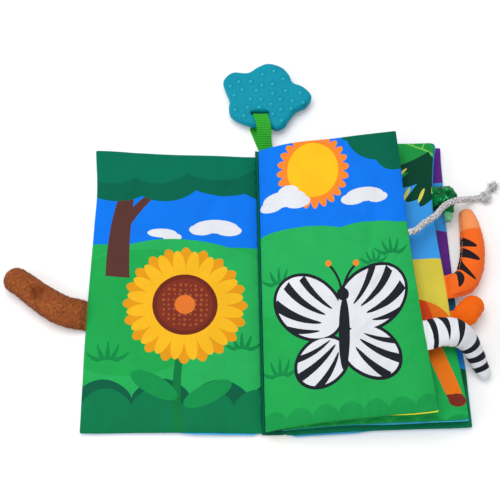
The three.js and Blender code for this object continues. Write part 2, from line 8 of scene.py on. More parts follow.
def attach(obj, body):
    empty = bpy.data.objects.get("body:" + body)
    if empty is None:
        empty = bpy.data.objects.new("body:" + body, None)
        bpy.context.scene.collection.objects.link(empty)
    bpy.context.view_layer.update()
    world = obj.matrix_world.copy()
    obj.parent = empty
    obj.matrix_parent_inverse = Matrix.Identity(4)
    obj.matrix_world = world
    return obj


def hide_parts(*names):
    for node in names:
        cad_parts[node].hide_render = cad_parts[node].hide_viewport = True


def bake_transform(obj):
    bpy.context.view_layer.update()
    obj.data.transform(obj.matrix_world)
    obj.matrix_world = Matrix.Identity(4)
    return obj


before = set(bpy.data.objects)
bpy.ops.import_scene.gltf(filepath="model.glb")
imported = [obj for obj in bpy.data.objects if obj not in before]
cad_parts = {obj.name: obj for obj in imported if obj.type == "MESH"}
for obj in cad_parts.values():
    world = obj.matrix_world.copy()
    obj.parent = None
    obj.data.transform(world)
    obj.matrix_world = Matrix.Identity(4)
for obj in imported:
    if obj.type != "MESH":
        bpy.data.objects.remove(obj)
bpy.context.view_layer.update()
scene = bpy.context.scene
scene.view_settings.view_transform = "Standard"

# Camera: a short telephoto lens high over the foot of the open book, level with its edges,
# fitted to the corners of the pages and covers in the photograph.
camera_data = bpy.data.cameras.new("camera")
camera_data.lens = 77.47
camera_data.sensor_width = 36
camera_data.clip_start = 0.01
camera_data.clip_end = 20
camera = bpy.data.objects.new("camera", camera_data)
camera.location = (-0.02126, -0.29893, 0.78658)
camera.rotation_mode = "QUATERNION"
camera.rotation_quaternion = (Vector((-0.01503, 0.03107, 0)) - camera.location).to_track_quat("-Z", "Y")
scene.collection.objects.link(camera)
scene.camera = camera


# Rope tail: a round braid of eight marled grey cotton strands over a cotton core, sewn into the
# first leaf's edge. It drops over the satin tail and runs out along the table to an overhand
# knot, past which its yarns are left frayed. All places in this file are in millimetres.
def spline(points, t):
    """Points on a centripetal Catmull-Rom curve through the given ones, t from 0 to 1."""
    p = np.array(points, float)
    spans = len(p) - 1
    s = np.clip(np.asarray(t, float), 0, 1) * spans
    i = np.minimum(s.astype(int), spans - 1)
    w = (s - i)[:, None]
    ends = np.vstack([2 * p[0] - p[1], p, 2 * p[-1] - p[-2]])
    p0, p1, p2, p3 = (ends[i + k] for k in range(4))
    d0, d1, d2 = (
        np.maximum(np.linalg.norm(b - a, axis=1, keepdims=True), 1e-8) ** 0.5
        for a, b in ((p0, p1), (p1, p2), (p2, p3))
    )
    t1 = ((p1 - p0) / d0 - (p2 - p0) / (d0 + d1) + (p2 - p1) / d1) * d1
    t2 = ((p2 - p1) / d1 - (p3 - p1) / (d1 + d2) + (p3 - p2) / d2) * d1
    return p1 + t1 * w + (3 * (p2 - p1) - 2 * t1 - t2) * w**2 + (2 * (p1 - p2) + t1 + t2) * w**3


def run_of(points):
    """How far along a path each of its points lies."""
    return np.concatenate([[0], np.cumsum(np.linalg.norm(np.diff(points, axis=0), axis=1))])


def evenly(points, steps):
    """Points at equal distances along the curve through the given ones."""
    fine = spline(points, np.linspace(0, 1, 800))
    run = run_of(fine)
    want = np.linspace(0, run[-1], steps)
    return np.stack([np.interp(want, run, fine[:, k]) for k in range(3)], 1)


def unit(v):
    """The same directions at length 1."""
    return v / np.maximum(np.linalg.norm(v, axis=-1, keepdims=True), 1e-12)


def carried(path):
    """Two directions across a path, carried along it without turning about it."""
    ahead = unit(np.gradient(path, axis=0))
    across = np.empty_like(path)
    last = np.cross(ahead[0], (0, 0, 1))
    for i, direction in enumerate(ahead):
        last = unit(last - direction * (last @ direction))
        across[i] = last
    return across, np.cross(across, ahead)


def grid_faces(rows, columns, round_=False):
    """Quads between rows of points; round_ joins the ends of each row."""
    index = np.arange(rows * columns).reshape(rows, columns)
    right = np.roll(index, -1, axis=1) if round_ else index[:, 1:]
    left = index if round_ else index[:, :-1]
    return np.stack([left[:-1], right[:-1], right[1:], left[1:]], -1).reshape(-1, 4)


def tube(path, radius, sides):
    """Rings round a path, closed at both ends; radius is one number or one for each point."""
    across, over = carried(path)
    turn = np.linspace(0, 2 * math.pi, sides, endpoint=False)
    size = np.broadcast_to(radius, len(path))[:, None, None]
    ring = np.cos(turn)[:, None] * across[:, None] - np.sin(turn)[:, None] * over[:, None]
    points = (path[:, None] + size * ring).reshape(-1, 3)
    last = (len(path) - 1) * sides
    caps = [list(range(sides))[::-1], list(range(last, last + sides))]
    return points, [*grid_faces(len(path), sides, round_=True).tolist(), *caps]


def together(parts):
    """One set of points and faces from several."""
    faces, base = [], 0
    for points, part_faces in parts:
        faces += [[i + base for i in face] for face in part_faces]
        base += len(points)
    return np.vstack([points for points, _ in parts]), faces


def new_piece(name, points, faces, uv=None, **attributes):
    """A smooth mesh object; uv and the named attributes hold one value for each point."""
    mesh = bpy.data.meshes.new(name)
    faces = faces.tolist() if isinstance(faces, np.ndarray) else faces
    mesh.from_pydata((np.asarray(points, float) * 0.001).tolist(), [], faces)
    if uv is not None:
        corner = np.empty(len(mesh.loops), np.int32)
        mesh.loops.foreach_get("vertex_index", corner)
        layer = mesh.uv_layers.new(name="UVMap")
        layer.uv.foreach_set("vector", np.asarray(uv, np.float32)[corner].ravel())
    for key, values in attributes.items():
        layer = mesh.attributes.new(key, "FLOAT", "POINT")
        layer.data.foreach_set("value", np.asarray(values, np.float32).ravel())
    mesh.polygons.foreach_set("use_smooth", [True] * len(mesh.polygons))
    mesh.update()
    piece = bpy.data.objects.new(name, mesh)
    scene.collection.objects.link(piece)
    return piece


def colour(code):
    """The linear colour of a #rrggbb code."""
    parts = [int(code[i:i + 2], 16) / 255 for i in (1, 3, 5)]
    return (*[c / 12.92 if c <= 0.04045 else ((c + 0.055) / 1.055) ** 2.4 for c in parts], 1)


def add(tree, kind, *values, **settings):
    """Adds a shader node with its settings and fills its live inputs in order, each with a
    socket, another node's first live output or a plain value. A dict fills inputs by name."""
    node = tree.nodes.new("ShaderNode" + kind)
    for key, value in settings.items():
        setattr(node, key, value)
    live = [socket for socket in node.inputs if socket.enabled]
    given = list(zip(live, [value for value in values if not isinstance(value, dict)]))
    for by_name in (value for value in values if isinstance(value, dict)):
        given += [(node.inputs[key], value) for key, value in by_name.items()]
    for socket, value in given:
        if isinstance(value, bpy.types.Node):
            value = next(output for output in value.outputs if output.enabled)
        if isinstance(value, bpy.types.NodeSocket):
            tree.links.new(value, socket)
        else:
            socket.default_value = value
    return node


def new_material(name, roughness, **sockets):
    """A material with its node tree and shader; other sockets are set by name."""
    made = bpy.data.materials.new(name)
    made.use_nodes = True
    shader = made.node_tree.nodes["Principled BSDF"]
    shader.inputs["Roughness"].default_value = roughness
    for key, value in sockets.items():
        shader.inputs[key.replace("_", " ")].default_value = value
    return made, made.node_tree, shader


def in_millimetres(tree):
    """Object coordinates in millimetres."""
    return add(tree, "Mapping", add(tree, "TexCoord").outputs["Object"], {"Scale": (1000, 1000, 1000)})


def paint(tree, shader, tone, height=None, depth=0.1):
    """Sets the colour and a relief as deep as the given millimetres."""
    tree.links.new(next(output for output in tone.outputs if output.enabled), shader.inputs["Base Color"])
    if height is not None:
        bump = add(tree, "Bump", {"Height": height, "Distance": depth * 0.001})
        tree.links.new(bump.outputs[0], shader.inputs["Normal"])


def finish_piece(piece, finish, slot, body=None, *nodes):
    """Gives a piece its material, its body and the solids it stands for; slot is not used."""
    piece.data.materials.clear()
    piece.data.materials.append(finish)
    if body:
        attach(piece, body)
    if nodes:
        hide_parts(*nodes)


rope_seat = np.array([108.011, 30.406, 31.109])
rope_reach, rope_width, rope_rest, rope_sewn_in = 65, 5.2, 2.9, 1.5
rope_shares = [
    (0, 0, 1), (0.075, 0.032, 1), (0.155, 0.108, 0.982), (0.246, 0.177, 0.904),
    (0.341, 0.254, 0.826), (0.414, 0.348, 0.759), (0.497, 0.425, 0.691), (0.595, 0.477, 0.62),
    (0.704, 0.529, 0.429), (0.803, 0.597, 0.124), (0.886, 0.629, 0), (0.969, 0.638, 0),
]
rope_points = [
    (rope_seat[0] + rope_reach * out, rope_seat[1] + rope_reach * up,
     rope_rest + (rope_seat[2] - rope_rest) * lift)
    for out, up, lift in rope_shares
]
rope_points[0] = (rope_points[0][0] - rope_sewn_in, *rope_points[0][1:])


def braid(path, width, pitch):
    """Eight strands, four wound each way, each in turn over and under the others, on a core.
    A strand's distance from the middle swings four times in one turn round it."""
    across, over = carried(path)
    run = run_of(path)
    core, ring, swing, strand = width * 0.27, width * 0.3, width * 0.07, width * 0.15
    parts = [tube(path, core, 8)]
    for way in (1, -1):
        far = ring + way * swing * np.cos(8 * math.pi * run / pitch)
        for start in range(4):
            turn = 2 * math.pi * (way * run / pitch + start / 4)
            sideways = np.cos(turn)[:, None] * across + np.sin(turn)[:, None] * over
            parts.append(tube(path + far[:, None] * sideways, strand, 7))
    return parts


rope_path = evenly(rope_points, 240)
rope = new_piece("rope_tail_braid", *together(braid(rope_path, rope_width, pitch=14)))

knot_run = unit(rope_path[-1] - rope_path[-4])
knot_turn = math.atan2(knot_run[1], knot_run[0])


def past_rope(points):
    """Points made along +X from the rope's end, turned into place."""
    p = np.asarray(points, float)
    x = p[:, 0] * math.cos(knot_turn) - p[:, 1] * math.sin(knot_turn)
    y = p[:, 0] * math.sin(knot_turn) + p[:, 1] * math.cos(knot_turn)
    return np.stack([rope_path[-1, 0] + x, rope_path[-1, 1] + y, p[:, 2]], 1)


knot_line = [
    (-1, 0, 2.9), (2.2, -1.9, 2.6), (5.4, -3.8, 3.6), (8.4, -1.6, 4.7), (7.4, 2.6, 4.6), (3.8, 3.8, 2.8),
    (1.4, 0.9, 2.6), (2.5, -2.6, 4.6), (5.6, -2.2, 5.6), (7.4, 1.2, 4.0), (8.6, 5, 3.0), (10.4, 7.6, 2.7),
]
knot_size, knot_width = 0.86, 4.0
knot_path = past_rope(evenly(np.array(knot_line) * (knot_size, knot_size, 1), 150))
knot_parts = braid(knot_path, knot_width, pitch=12)
fray_root, yarn_count = np.array([7.9, 5.4, 2.7]), 130
yarns = np.random.default_rng(5)
for _ in range(yarn_count):
    spread = yarns.normal(0, 0.3)
    lean, length = 0.62 + spread * 0.8, yarns.uniform(6.5, 10.5) * (1 - 0.3 * abs(spread))
    start = fray_root + yarns.normal(0, 0.7, 3)
    s = np.linspace(0, 1, 10)
    drift = yarns.uniform(-1.7, 1.7, 2)
    wave = 0.25 * np.sin(s * yarns.uniform(8, 16) + yarns.uniform(0, 6))
    x = start[0] + length * s * math.cos(lean) + drift[0] * s**2 - wave * math.sin(lean)
    y = start[1] + length * s * math.sin(lean) + drift[1] * s**2 + wave * math.cos(lean)
    z = np.maximum(start[2] + yarns.uniform(-2, 2.4) * s - 0.4 * s**2, 0.45)
    knot_parts.append(tube(past_rope(np.stack([x, y, z], 1)), np.linspace(0.34, 0.17, 10), 4))
knot = new_piece("rope_knot_and_fray", *together(knot_parts))

# Marled cotton yarn: light and dark grey threads spun together, dull and fuzzy. The specks are
# drawn 1.1 mm long, about twice the real ones, so that they show.
cotton, tree, shader = new_material("braided cotton yarn", 0.95, Specular_IOR_Level=0.2, Sheen_Weight=0.1)
where = in_millimetres(tree)
speck = add(tree, "TexNoise", where, 0.9, 5, 0.75)
blotch = add(tree, "TexNoise", where, 0.35, 2)
marl = add(tree, "MapRange", speck.outputs[0], 0.4, 0.57, interpolation_type="SMOOTHSTEP")
tone = add(tree, "Mix", marl, colour("#757277"), colour("#f3f1f2"), data_type="RGBA")
share = add(tree, "Math", blotch, 0.3, operation="MULTIPLY")
tone = add(tree, "Mix", share, tone, colour("#cfcdd0"), data_type="RGBA")
paint(tree, shader, tone, speck, 0.35)
finish_piece(rope, cotton, "grey_rope", "first_leaf", "rope_tail")
finish_piece(knot, cotton, "grey_rope", "first_leaf", "rope_knot_and_tassel")
float(run_of(rope_path)[-1]) * 0.001

# Leaves: every page is two printed polyester panels sewn face to face, turned right side out
# over film and batting. Each panel is a sheet of cloth that swells inside its seams, gathers
# along them and carries the soft folds of handling.
page_width, seam_border, leaf_half, seam_half = 134.0, 12.0, 2.35, 0.65
leaves = {
    "front_cover": dict(
        side=-1, height=236, inner=(8.8, 2.35), reach=(1.007, 0.977), inner_y=(-0.496, 0.476),
        outer_y=(-0.486, 0.512), lift=(0, 0), arch=(0, 0), drawn=2.4, waist=0.77),
    "back_cover": dict(
        side=1, height=236, inner=(8.8, 2.35), reach=(1.014, 1.004), inner_y=(-0.503, 0.498),
        outer_y=(-0.49, 0.519), lift=(0, 0), arch=(0, 0), drawn=1.8, waist=0.75),
    "second_leaf": dict(
        side=1, height=230, inner=(5.6703, 5.5771), reach=(1.021, 0.974), inner_y=(-0.504, 0.5),
        outer_y=(-0.4865, 0.517), lift=(6.4, 9.4), arch=(2.5, 2.5), drawn=7.5, waist=0.72),
    "first_leaf": dict(
        side=1, height=230, inner=(-6.4862, 6.9622), reach=(0.932, 0.815), inner_y=(-0.511, 0.501),
        outer_y=(-0.469, 0.509), lift=(18, 28), arch=(5, 6), drawn=2, waist=0.55),
}
leaf_body = {name: name for name in leaves} | {"back_cover": "spine_and_back_cover"}


def leaf_point(leaf, u, v):
    """A point of the leaf's middle surface, u from gutter to outer edge, v from foot to head. It
    runs straight across, raised by a steady lift and a sine arch. The outer edge is drawn in by a
    sine that peaks at the waist, and the foot and the head by one that peaks halfway out."""
    a = leaves[leaf]
    along_v = lambda pair: pair[0] + (pair[1] - pair[0]) * v
    waist = np.sin(math.pi * v ** (math.log(0.5) / math.log(a["waist"])))
    reach = along_v(a["reach"]) * page_width - a["drawn"] * waist
    inner, outer = along_v(a["inner_y"]) * a["height"], along_v(a["outer_y"]) * a["height"]
    hem = 1.2 * np.sin(math.pi * u) * (2 * v - 1)
    arch = along_v(a["arch"]) * np.sin(math.pi * u**0.6)
    z = a["inner"][1] + along_v(a["lift"]) * u + arch
    return np.stack([a["side"] * (a["inner"][0] + reach * u), inner + (outer - inner) * u - hem, z], -1)


def leaf_normal(leaf, u, v):
    """Straight out of the leaf's upper face: square to a short step across it and one along it."""
    step = 0.02
    across = leaf_point(leaf, np.minimum(u + step, 1), v) - leaf_point(leaf, np.maximum(u - step, 0), v)
    up = leaf_point(leaf, u, np.minimum(v + step, 1)) - leaf_point(leaf, u, np.maximum(v - step, 0))
    return unit(np.cross(across, up)) * leaves[leaf]["side"]


def leaf_edge(leaf, y):
    """The leaf's outer edge at the given distances towards the head."""
    foot, head = (share * leaves[leaf]["height"] for share in leaves[leaf]["outer_y"])
    v = (np.asarray(y, float) - foot) / (head - foot)
    return leaf_point(leaf, np.ones_like(v), v)


def smoothstep(low, high, x):
    """0 at low, 1 at high and an S-shaped slope between them; low may be the larger."""
    t = np.clip((x - low) / (high - low), 0, 1)
    return t * t * (3 - 2 * t)


def rumple(x, y, cell, seed):
    """Smooth seeded noise from -1 to 1: random heights a cell apart, joined by smooth slopes."""
    lattice = np.random.default_rng(seed).uniform(-1, 1, (64, 64))
    gx, gy = np.asarray(x) / cell + 20, np.asarray(y) / cell + 20
    i, j = np.floor(gx).astype(int), np.floor(gy).astype(int)
    fx, fy = (f**3 * (f * (6 * f - 15) + 10) for f in (gx - i, gy - j))
    i, j, next_i, next_j = i % 64, j % 64, (i + 1) % 64, (j + 1) % 64
    low = lattice[i, j] * (1 - fx) + lattice[next_i, j] * fx
    high = lattice[i, next_j] * (1 - fx) + lattice[next_i, next_j] * fx
    return low * (1 - fy) + high * fy


def handling(x, y, height, seed):
    """Height of a panel's folds, in millimetres: gathers that run in from the seam and die out,
    broad swells, long soft folds, and small crackle where the film inside has buckled."""
    from_side, from_end = np.minimum(x, page_width - x), np.minimum(y, height - y)
    depth = np.minimum(from_side, from_end)
    run = np.where(from_side < from_end, y, x)
    gathers = np.sin(2 * math.pi * (run / 13 + 1.1 * rumple(run, depth * 0.2, 34, seed)))
    gathers *= np.clip(0.35 + rumple(run, run, 27, seed + 1), 0, 1)
    gathers *= np.exp(-depth / 8) * (1 - np.exp(-depth / 2.5))
    swell = rumple(x, y, 52, seed + 2) + 0.5 * rumple(x, y, 24, seed + 3)
    lean, cross = 0.8 * x + 0.6 * y, 0.8 * y - 0.6 * x
    ridge = (1 - np.abs(rumple(lean, cross * 2.4, 38, seed + 4))) ** 8
    folds = ridge * smoothstep(-0.1, 0.8, rumple(x, y, 55, seed + 5))
    crackle = (1 - np.abs(rumple(x, y, 9, seed + 6))) ** 4 * smoothstep(0.1, 0.9, rumple(x, y, 40, seed + 7))
    return 1.1 * gathers + smoothstep(0, 18, depth) * (0.6 * swell + 0.95 * folds + 0.4 * crackle)


def crease(x, y, start, end, width, depth):
    """A fold along a line: a bell curve across it, which dies out towards both ends."""
    line = np.subtract(end, start)
    t = ((x - start[0]) * line[0] + (y - start[1]) * line[1]) / (line @ line)
    off = ((x - start[0]) * line[1] - (y - start[1]) * line[0]) / np.linalg.norm(line)
    off = off + 3 * rumple(t * 100, off, 40, 9)
    return depth * np.exp(-((off / width) ** 2)) * smoothstep(-0.1, 0.3, t) * smoothstep(1.1, 0.7, t)


def cloth_between(name, outside, inside, uv):
    """A closed sheet of cloth from two grids of points, its outer and its inner face, with a
    band of quads round their edges. The faces are turned round where they would point inwards."""
    rows, columns = outside.shape[:2]
    count = rows * columns
    index = np.arange(count).reshape(rows, columns)
    out = grid_faces(rows, columns)
    ring = np.concatenate([index[0], index[1:, -1], index[-1, -2::-1], index[-2:0:-1, 0]])
    ahead = np.roll(ring, -1)
    faces = np.vstack([out, out[:, ::-1] + count, np.stack([ahead, ring, ring + count, ahead + count], -1)])
    i, j = rows // 2, columns // 2
    facing = np.cross(outside[i, j + 1] - outside[i, j], outside[i + 1, j] - outside[i, j])
    if facing @ (outside[i, j] - inside[i, j]) < 0:
        faces = faces[:, ::-1]
    points = np.vstack([outside.reshape(-1, 3), inside.reshape(-1, 3)])
    return new_piece(name, points, faces, np.vstack([uv, uv]))


def page_grid(leaf, columns, rows, border=0.0, corner=1.3):
    """Shares u and v and millimetres x and y over a leaf, close together at its edges. In the
    shares the corners are rounded: there the square is drawn in to a quarter circle."""
    height = leaves[leaf]["height"]
    lip = np.array([0, 0.12, 0.4, 0.85])

    def places(count, length):
        even = np.linspace(0, 1, count)
        eased = 0.6 * even + 0.2 * (1 - np.cos(math.pi * even))
        inner = border + 1.5 + (length - 2 * border - 3) * eased
        return np.concatenate([border + lip, inner, length - border - lip[::-1]])

    y, x = np.meshgrid(places(rows, height), places(columns, page_width), indexing="ij")
    off_x, off_y = page_width / 2 - x, height / 2 - y
    past_x = np.abs(off_x) - (page_width / 2 - border - corner)
    past_y = np.abs(off_y) - (height / 2 - border - corner)
    both_past = (past_x > 0) & (past_y > 0)
    draw = np.where(both_past, np.maximum(past_x, past_y) / np.maximum(np.hypot(past_x, past_y), 1e-6), 1)
    u = (x + np.sign(off_x) * past_x * (1 - draw)) / page_width
    v = (y + np.sign(off_y) * past_y * (1 - draw)) / height
    return u, v, x, y


def swelling(x, y, height):
    """0 on the seams, 1 once a seam border inside them, rounded between."""
    rise = lambda s, length: 1 - (1 - np.clip(np.minimum(s, length - s) / seam_border, 0, 1)) ** 2
    return rise(x, page_width) * rise(y, height)


def sway(leaf, u, v, x, y):
    """Small drifts of the seams along the page, so that no edge is quite straight. The second
    leaf and the back cover droop at their top outer corners, and the second leaf's is rounded."""
    side = 0.55 * rumple(x, y, 33, 77) * smoothstep(0.5, 1, u)
    ends = 0.65 * rumple(x, y, 37, 78) * np.abs(2 * v - 1) * smoothstep(0, 0.2, u)
    lift = 0.7 * rumple(x, y, 41, 79) * smoothstep(0.75, 1, np.abs(2 * v - 1)) * smoothstep(0, 0.25, u)
    if leaves[leaf]["lift"][0] == 0:
        lift = np.abs(lift)
    if leaf == "second_leaf":
        side = side - 2 * np.exp(-(((y - 62) / 34) ** 2)) * smoothstep(0.6, 1, u)
        corner = 1 - np.sqrt(1 - np.clip((x - page_width + 4) / 4, 0, 1) ** 2)
        ends = ends - (2.4 * smoothstep(0.6, 1, u) + 3.2 * corner) * smoothstep(0.85, 1, v)
    if leaf == "back_cover":
        side = side + 1.6 * (1 - smoothstep(40, 85, y)) * smoothstep(0.6, 1, u)
        ends = ends - 4.6 * smoothstep(0.6, 1, u) * smoothstep(0.8, 1, v)
    return np.stack([side, ends, lift], -1)


def panel(leaf, upper, seed, creases=()):
    """One printed panel, half a millimetre thick, its edge rolled in to meet the other one's.
    A lower panel stands out a little past the upper one on parts of its foot, and the second
    leaf's at its side too, where the photograph shows a pale line."""
    panel_thick, seam_gap, roll = 0.5, 0.04, 4
    columns, rows = (100, 170) if upper else (64, 108)
    u, v, x, y = page_grid(leaf, columns, rows)
    height, side, face = leaves[leaf]["height"], leaves[leaf]["side"], 1 if upper else -1
    lies = leaves[leaf]["lift"][0] == 0
    swell = swelling(x, y, height)
    folds = handling(x, y, height, seed) + sum(crease(x, y, *one) for one in creases)
    folds = np.clip(folds, -1.0, 1.4) * np.minimum(1, 5 * swell)
    if not upper and lies:
        folds = folds * 0.4 - 0.1 * swell
    depth = np.minimum(np.minimum(x, page_width - x), np.minimum(y, height - y))
    lip = np.sqrt(1 - (1 - np.clip(depth / 0.9, 0, 1)) ** 2)
    edge = seam_gap + (seam_half - seam_gap + (leaf_half - seam_half) * swell + folds) * lip
    middle = leaf_point(leaf, u, v) + sway(leaf, u, v, x, y)
    at_foot, at_side = 1 - smoothstep(0, roll, y), 1 - smoothstep(0, roll, page_width - x)
    rolled = 0.9 + 0.3 * rumple(x, y, 30, 5)
    if not upper and lies:
        middle[..., 1] -= 1.5 * smoothstep(2, 8, x) * smoothstep(66, 46, x) * at_foot
    elif not upper and leaf == "second_leaf":
        middle[..., 0] += side * rolled * smoothstep(165, 190, y) * at_side
        middle[..., 1] -= rolled * (0.4 + 1.0 * smoothstep(50, 80, x)) * at_foot
    elif not upper:
        middle[..., 1] -= 1.6 * rolled * smoothstep(94, 118, x) * at_foot
    normal = face * leaf_normal(leaf, u, v)
    name = f"{leaf}_{'upper' if upper else 'lower'}"
    uv = np.stack([side * x.ravel(), y.ravel() - height / 2], 1)
    inside = middle + normal * np.maximum(edge - panel_thick, 0.02)[..., None]
    made = cloth_between(f"{name}_cloth", middle + normal * edge[..., None], inside, uv)
    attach(made, leaf_body[leaf])
    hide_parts(f"{name}_panel")
    return made


panels = {
    "front_upper": panel("front_cover", True, 11, [
        ((8, 222), (60, 150), 5, -0.9), ((100, 60), (30, 84), 6, 0.8), ((128, 160), (96, 236), 5, 0.8)]),
    "front_lower": panel("front_cover", False, 12),
    "back_upper": panel("back_cover", True, 13),
    "back_lower": panel("back_cover", False, 14),
    "first_upper": panel("first_leaf", True, 15, [
        ((112, 196), (76, 66), 4.5, -1.0), ((20, 225), (62, 165), 5, 0.8), ((40, 20), (110, 40), 6, 0.7)]),
    "first_lower": panel("first_leaf", False, 16),
    "second_upper": panel("second_leaf", True, 17, [((134, 70), (100, 92), 5, -0.8)]),
    "second_lower": panel("second_leaf", False, 18),
}

# Inside every leaf, loose within the seams: a pad of dull white clumped polyester batting, and
# over it a sheet of stiff film, smooth and pale, that gleams in facets where it has buckled and
# crackles when the page is pressed.
film, tree, shader = new_material("crackling polypropylene film", 0.22)
where = in_millimetres(tree)
buckle = add(tree, "TexVoronoi", where, 0.12, feature="DISTANCE_TO_EDGE")
tone = add(tree, "Mix", buckle, colour("#dfe6ea"), colour("#f6fafc"), data_type="RGBA")
paint(tree, shader, tone, buckle, 0.4)

batting, tree, shader = new_material("polyester batting", 1.0, Sheen_Weight=0.5)
where = in_millimetres(tree)
fluff = add(tree, "TexNoise", where, 0.7, 8, 0.75)
tone = add(tree, "Mix", fluff.outputs[0], colour("#dedbd2"), colour("#fbfaf6"), data_type="RGBA")
paint(tree, shader, tone, fluff, 0.8)

inside_seams, film_thick = 13.5, 0.12
for number, leaf in enumerate(leaves):
    height = leaves[leaf]["height"]
    u, v, x, y = page_grid(leaf, 32, 56, border=inside_seams)
    middle = leaf_point(leaf, u, v) + sway(leaf, u, v, x, y)
    normal = leaf_normal(leaf, u, v)
    at = lambda rise: middle + normal * np.asarray(rise)[..., None]
    uv = np.stack([x.ravel(), y.ravel()], 1)
    buckled = 0.62 + 0.1 * (1 - np.abs(rumple(x, y, 11, 31 + number))) ** 3
    film_sheet = cloth_between(f"{leaf}_film_sheet", at(buckled), at(buckled - film_thick), uv)
    finish_piece(film_sheet, film, "crinkle_film", leaf_body[leaf], f"{leaf}_crinkle_film")
    depth = np.minimum(np.minimum(x - inside_seams, page_width - inside_seams - x),
                       np.minimum(y - inside_seams, height - inside_seams - y))
    plump = 0.5 + 0.5 * smoothstep(-1, 5, depth)
    top = 0.38 * plump + 0.06 * rumple(x, y, 6, 41 + number)
    pad = cloth_between(f"{leaf}_batting_pad", at(top), at(-0.8 * plump + 0.05 * rumple(x, y, 6, 51)), uv)
    finish_piece(pad, batting, "batting", leaf_body[leaf], f"{leaf}_batting")


# Printed pictures: flat inks on woven polyester, bright and slightly satin. They are generic
# garden and seaside scenes. Places are millimetres from the gutter and from mid height.
def spot(tree, where, x, y, across, high, turn=0):
    """1 inside an ellipse with the given half sizes."""
    turned = (0, 0, math.radians(turn))
    moved = add(tree, "Mapping", where, (x, y, 0), turned, (across, high, 1), vector_type="TEXTURE")
    far = add(tree, "VectorMath", moved, operation="LENGTH")
    return add(tree, "Math", far, 1.0, operation="LESS_THAN")


def any_of(tree, *masks):
    """1 where any of the masks is 1: the largest of them."""
    whole = masks[0]
    for mask in masks[1:]:
        whole = add(tree, "Math", whole, mask, operation="MAXIMUM")
    return whole


def spots(tree, where, *shapes):
    """1 inside any of the ellipses."""
    return any_of(tree, *[spot(tree, where, *shape) for shape in shapes])


def under(tree, x, y, level, swing, wave, shift=0.0, scallop=False):
    """1 below a wavy line; a scalloped one is a row of round heads."""
    angle = add(tree, "Math", x, 2 * math.pi / wave, shift, operation="MULTIPLY_ADD")
    lift = add(tree, "Math", angle, operation="SINE")
    if scallop:
        lift = add(tree, "Math", add(tree, "Math", lift, operation="ABSOLUTE"), 0.6, operation="POWER")
    line = add(tree, "Math", lift, swing, level, operation="MULTIPLY_ADD")
    return add(tree, "Math", y, line, operation="LESS_THAN")


def bloom(tree, where, x, y, size, petals, depth, turn=0.0):
    """1 inside a round with petals, cut in by a share of its size."""
    moved = add(tree, "VectorMath", where, (x, y, 0), operation="SUBTRACT")
    axes = add(tree, "SeparateXYZ", moved).outputs
    angle = add(tree, "Math", axes[1], axes[0], operation="ARCTAN2")
    angle = add(tree, "Math", angle, petals / 2, turn, operation="MULTIPLY_ADD")
    lobe = add(tree, "Math", add(tree, "Math", angle, operation="COSINE"), operation="ABSOLUTE")
    lobe = add(tree, "Math", lobe, 0.7, operation="POWER")
    line = add(tree, "Math", lobe, size * depth, size * (1 - depth), operation="MULTIPLY_ADD")
    far = add(tree, "VectorMath", add(tree, "CombineXYZ", axes[0], axes[1]), operation="LENGTH")
    return add(tree, "Math", far, line, operation="LESS_THAN")


def stroke(tree, where, start, end, width, bend=0.0, taper=0.5):
    """1 inside a brush stroke from start, where it is widest, to its point at the end.
    Its middle line bows sideways by bend. With taper 0 it keeps its width, below 0 it widens."""
    line = np.subtract(end, start)
    length = float(np.linalg.norm(line))
    turn = (0, 0, math.atan2(line[1], line[0]))
    moved = add(tree, "Mapping", where, (*start, 0), turn, (length, length, 1), vector_type="TEXTURE")
    axes = add(tree, "SeparateXYZ", moved).outputs
    rest = add(tree, "Math", 1.0, axes[0], operation="SUBTRACT")
    bow = add(tree, "Math", axes[0], rest, operation="MULTIPLY")
    bow = add(tree, "Math", bow, 4 * bend / length, operation="MULTIPLY")
    off = add(tree, "Math", add(tree, "Math", axes[1], bow, operation="SUBTRACT"), operation="ABSOLUTE")
    narrow = add(tree, "Math", add(tree, "Math", rest, 0.0, operation="MAXIMUM"), taper, operation="POWER")
    half = add(tree, "Math", narrow, width / 2 / length, operation="MULTIPLY")
    inside = add(tree, "Math", off, half, operation="LESS_THAN")
    begun = add(tree, "Math", axes[0], 0.0, operation="GREATER_THAN")
    going_on = add(tree, "Math", rest, 0.0, operation="GREATER_THAN")
    between = add(tree, "Math", begun, going_on, operation="MULTIPLY")
    return add(tree, "Math", inside, between, operation="MULTIPLY")


def strokes(tree, where, *shapes):
    """1 inside any of the brush strokes."""
    return any_of(tree, *[stroke(tree, where, *shape) for shape in shapes])


def tuft(tree, where, x, y, size):
    """Grass blades fanned out from one root."""
    blades = []
    for k in (-2, -1, 0, 1, 2):
        tip = (x + 0.62 * k * size, y + size * (1.15 - 0.16 * k * k))
        blades.append(((x + 0.18 * k * size, y), tip, size * 0.3, -0.06 * k * size))
    return strokes(tree, where, *blades)


def plain_weave(tree, axes, repeat):
    """Threads over and under by turns: a sine wave each way, multiplied. One repeat is two threads."""
    swings = [add(tree, "Math", axes[k], 2 * math.pi / repeat, operation="MULTIPLY") for k in (0, 1)]
    swings = [add(tree, "Math", swing, operation="SINE") for swing in swings]
    return add(tree, "Math", *swings, operation="MULTIPLY")


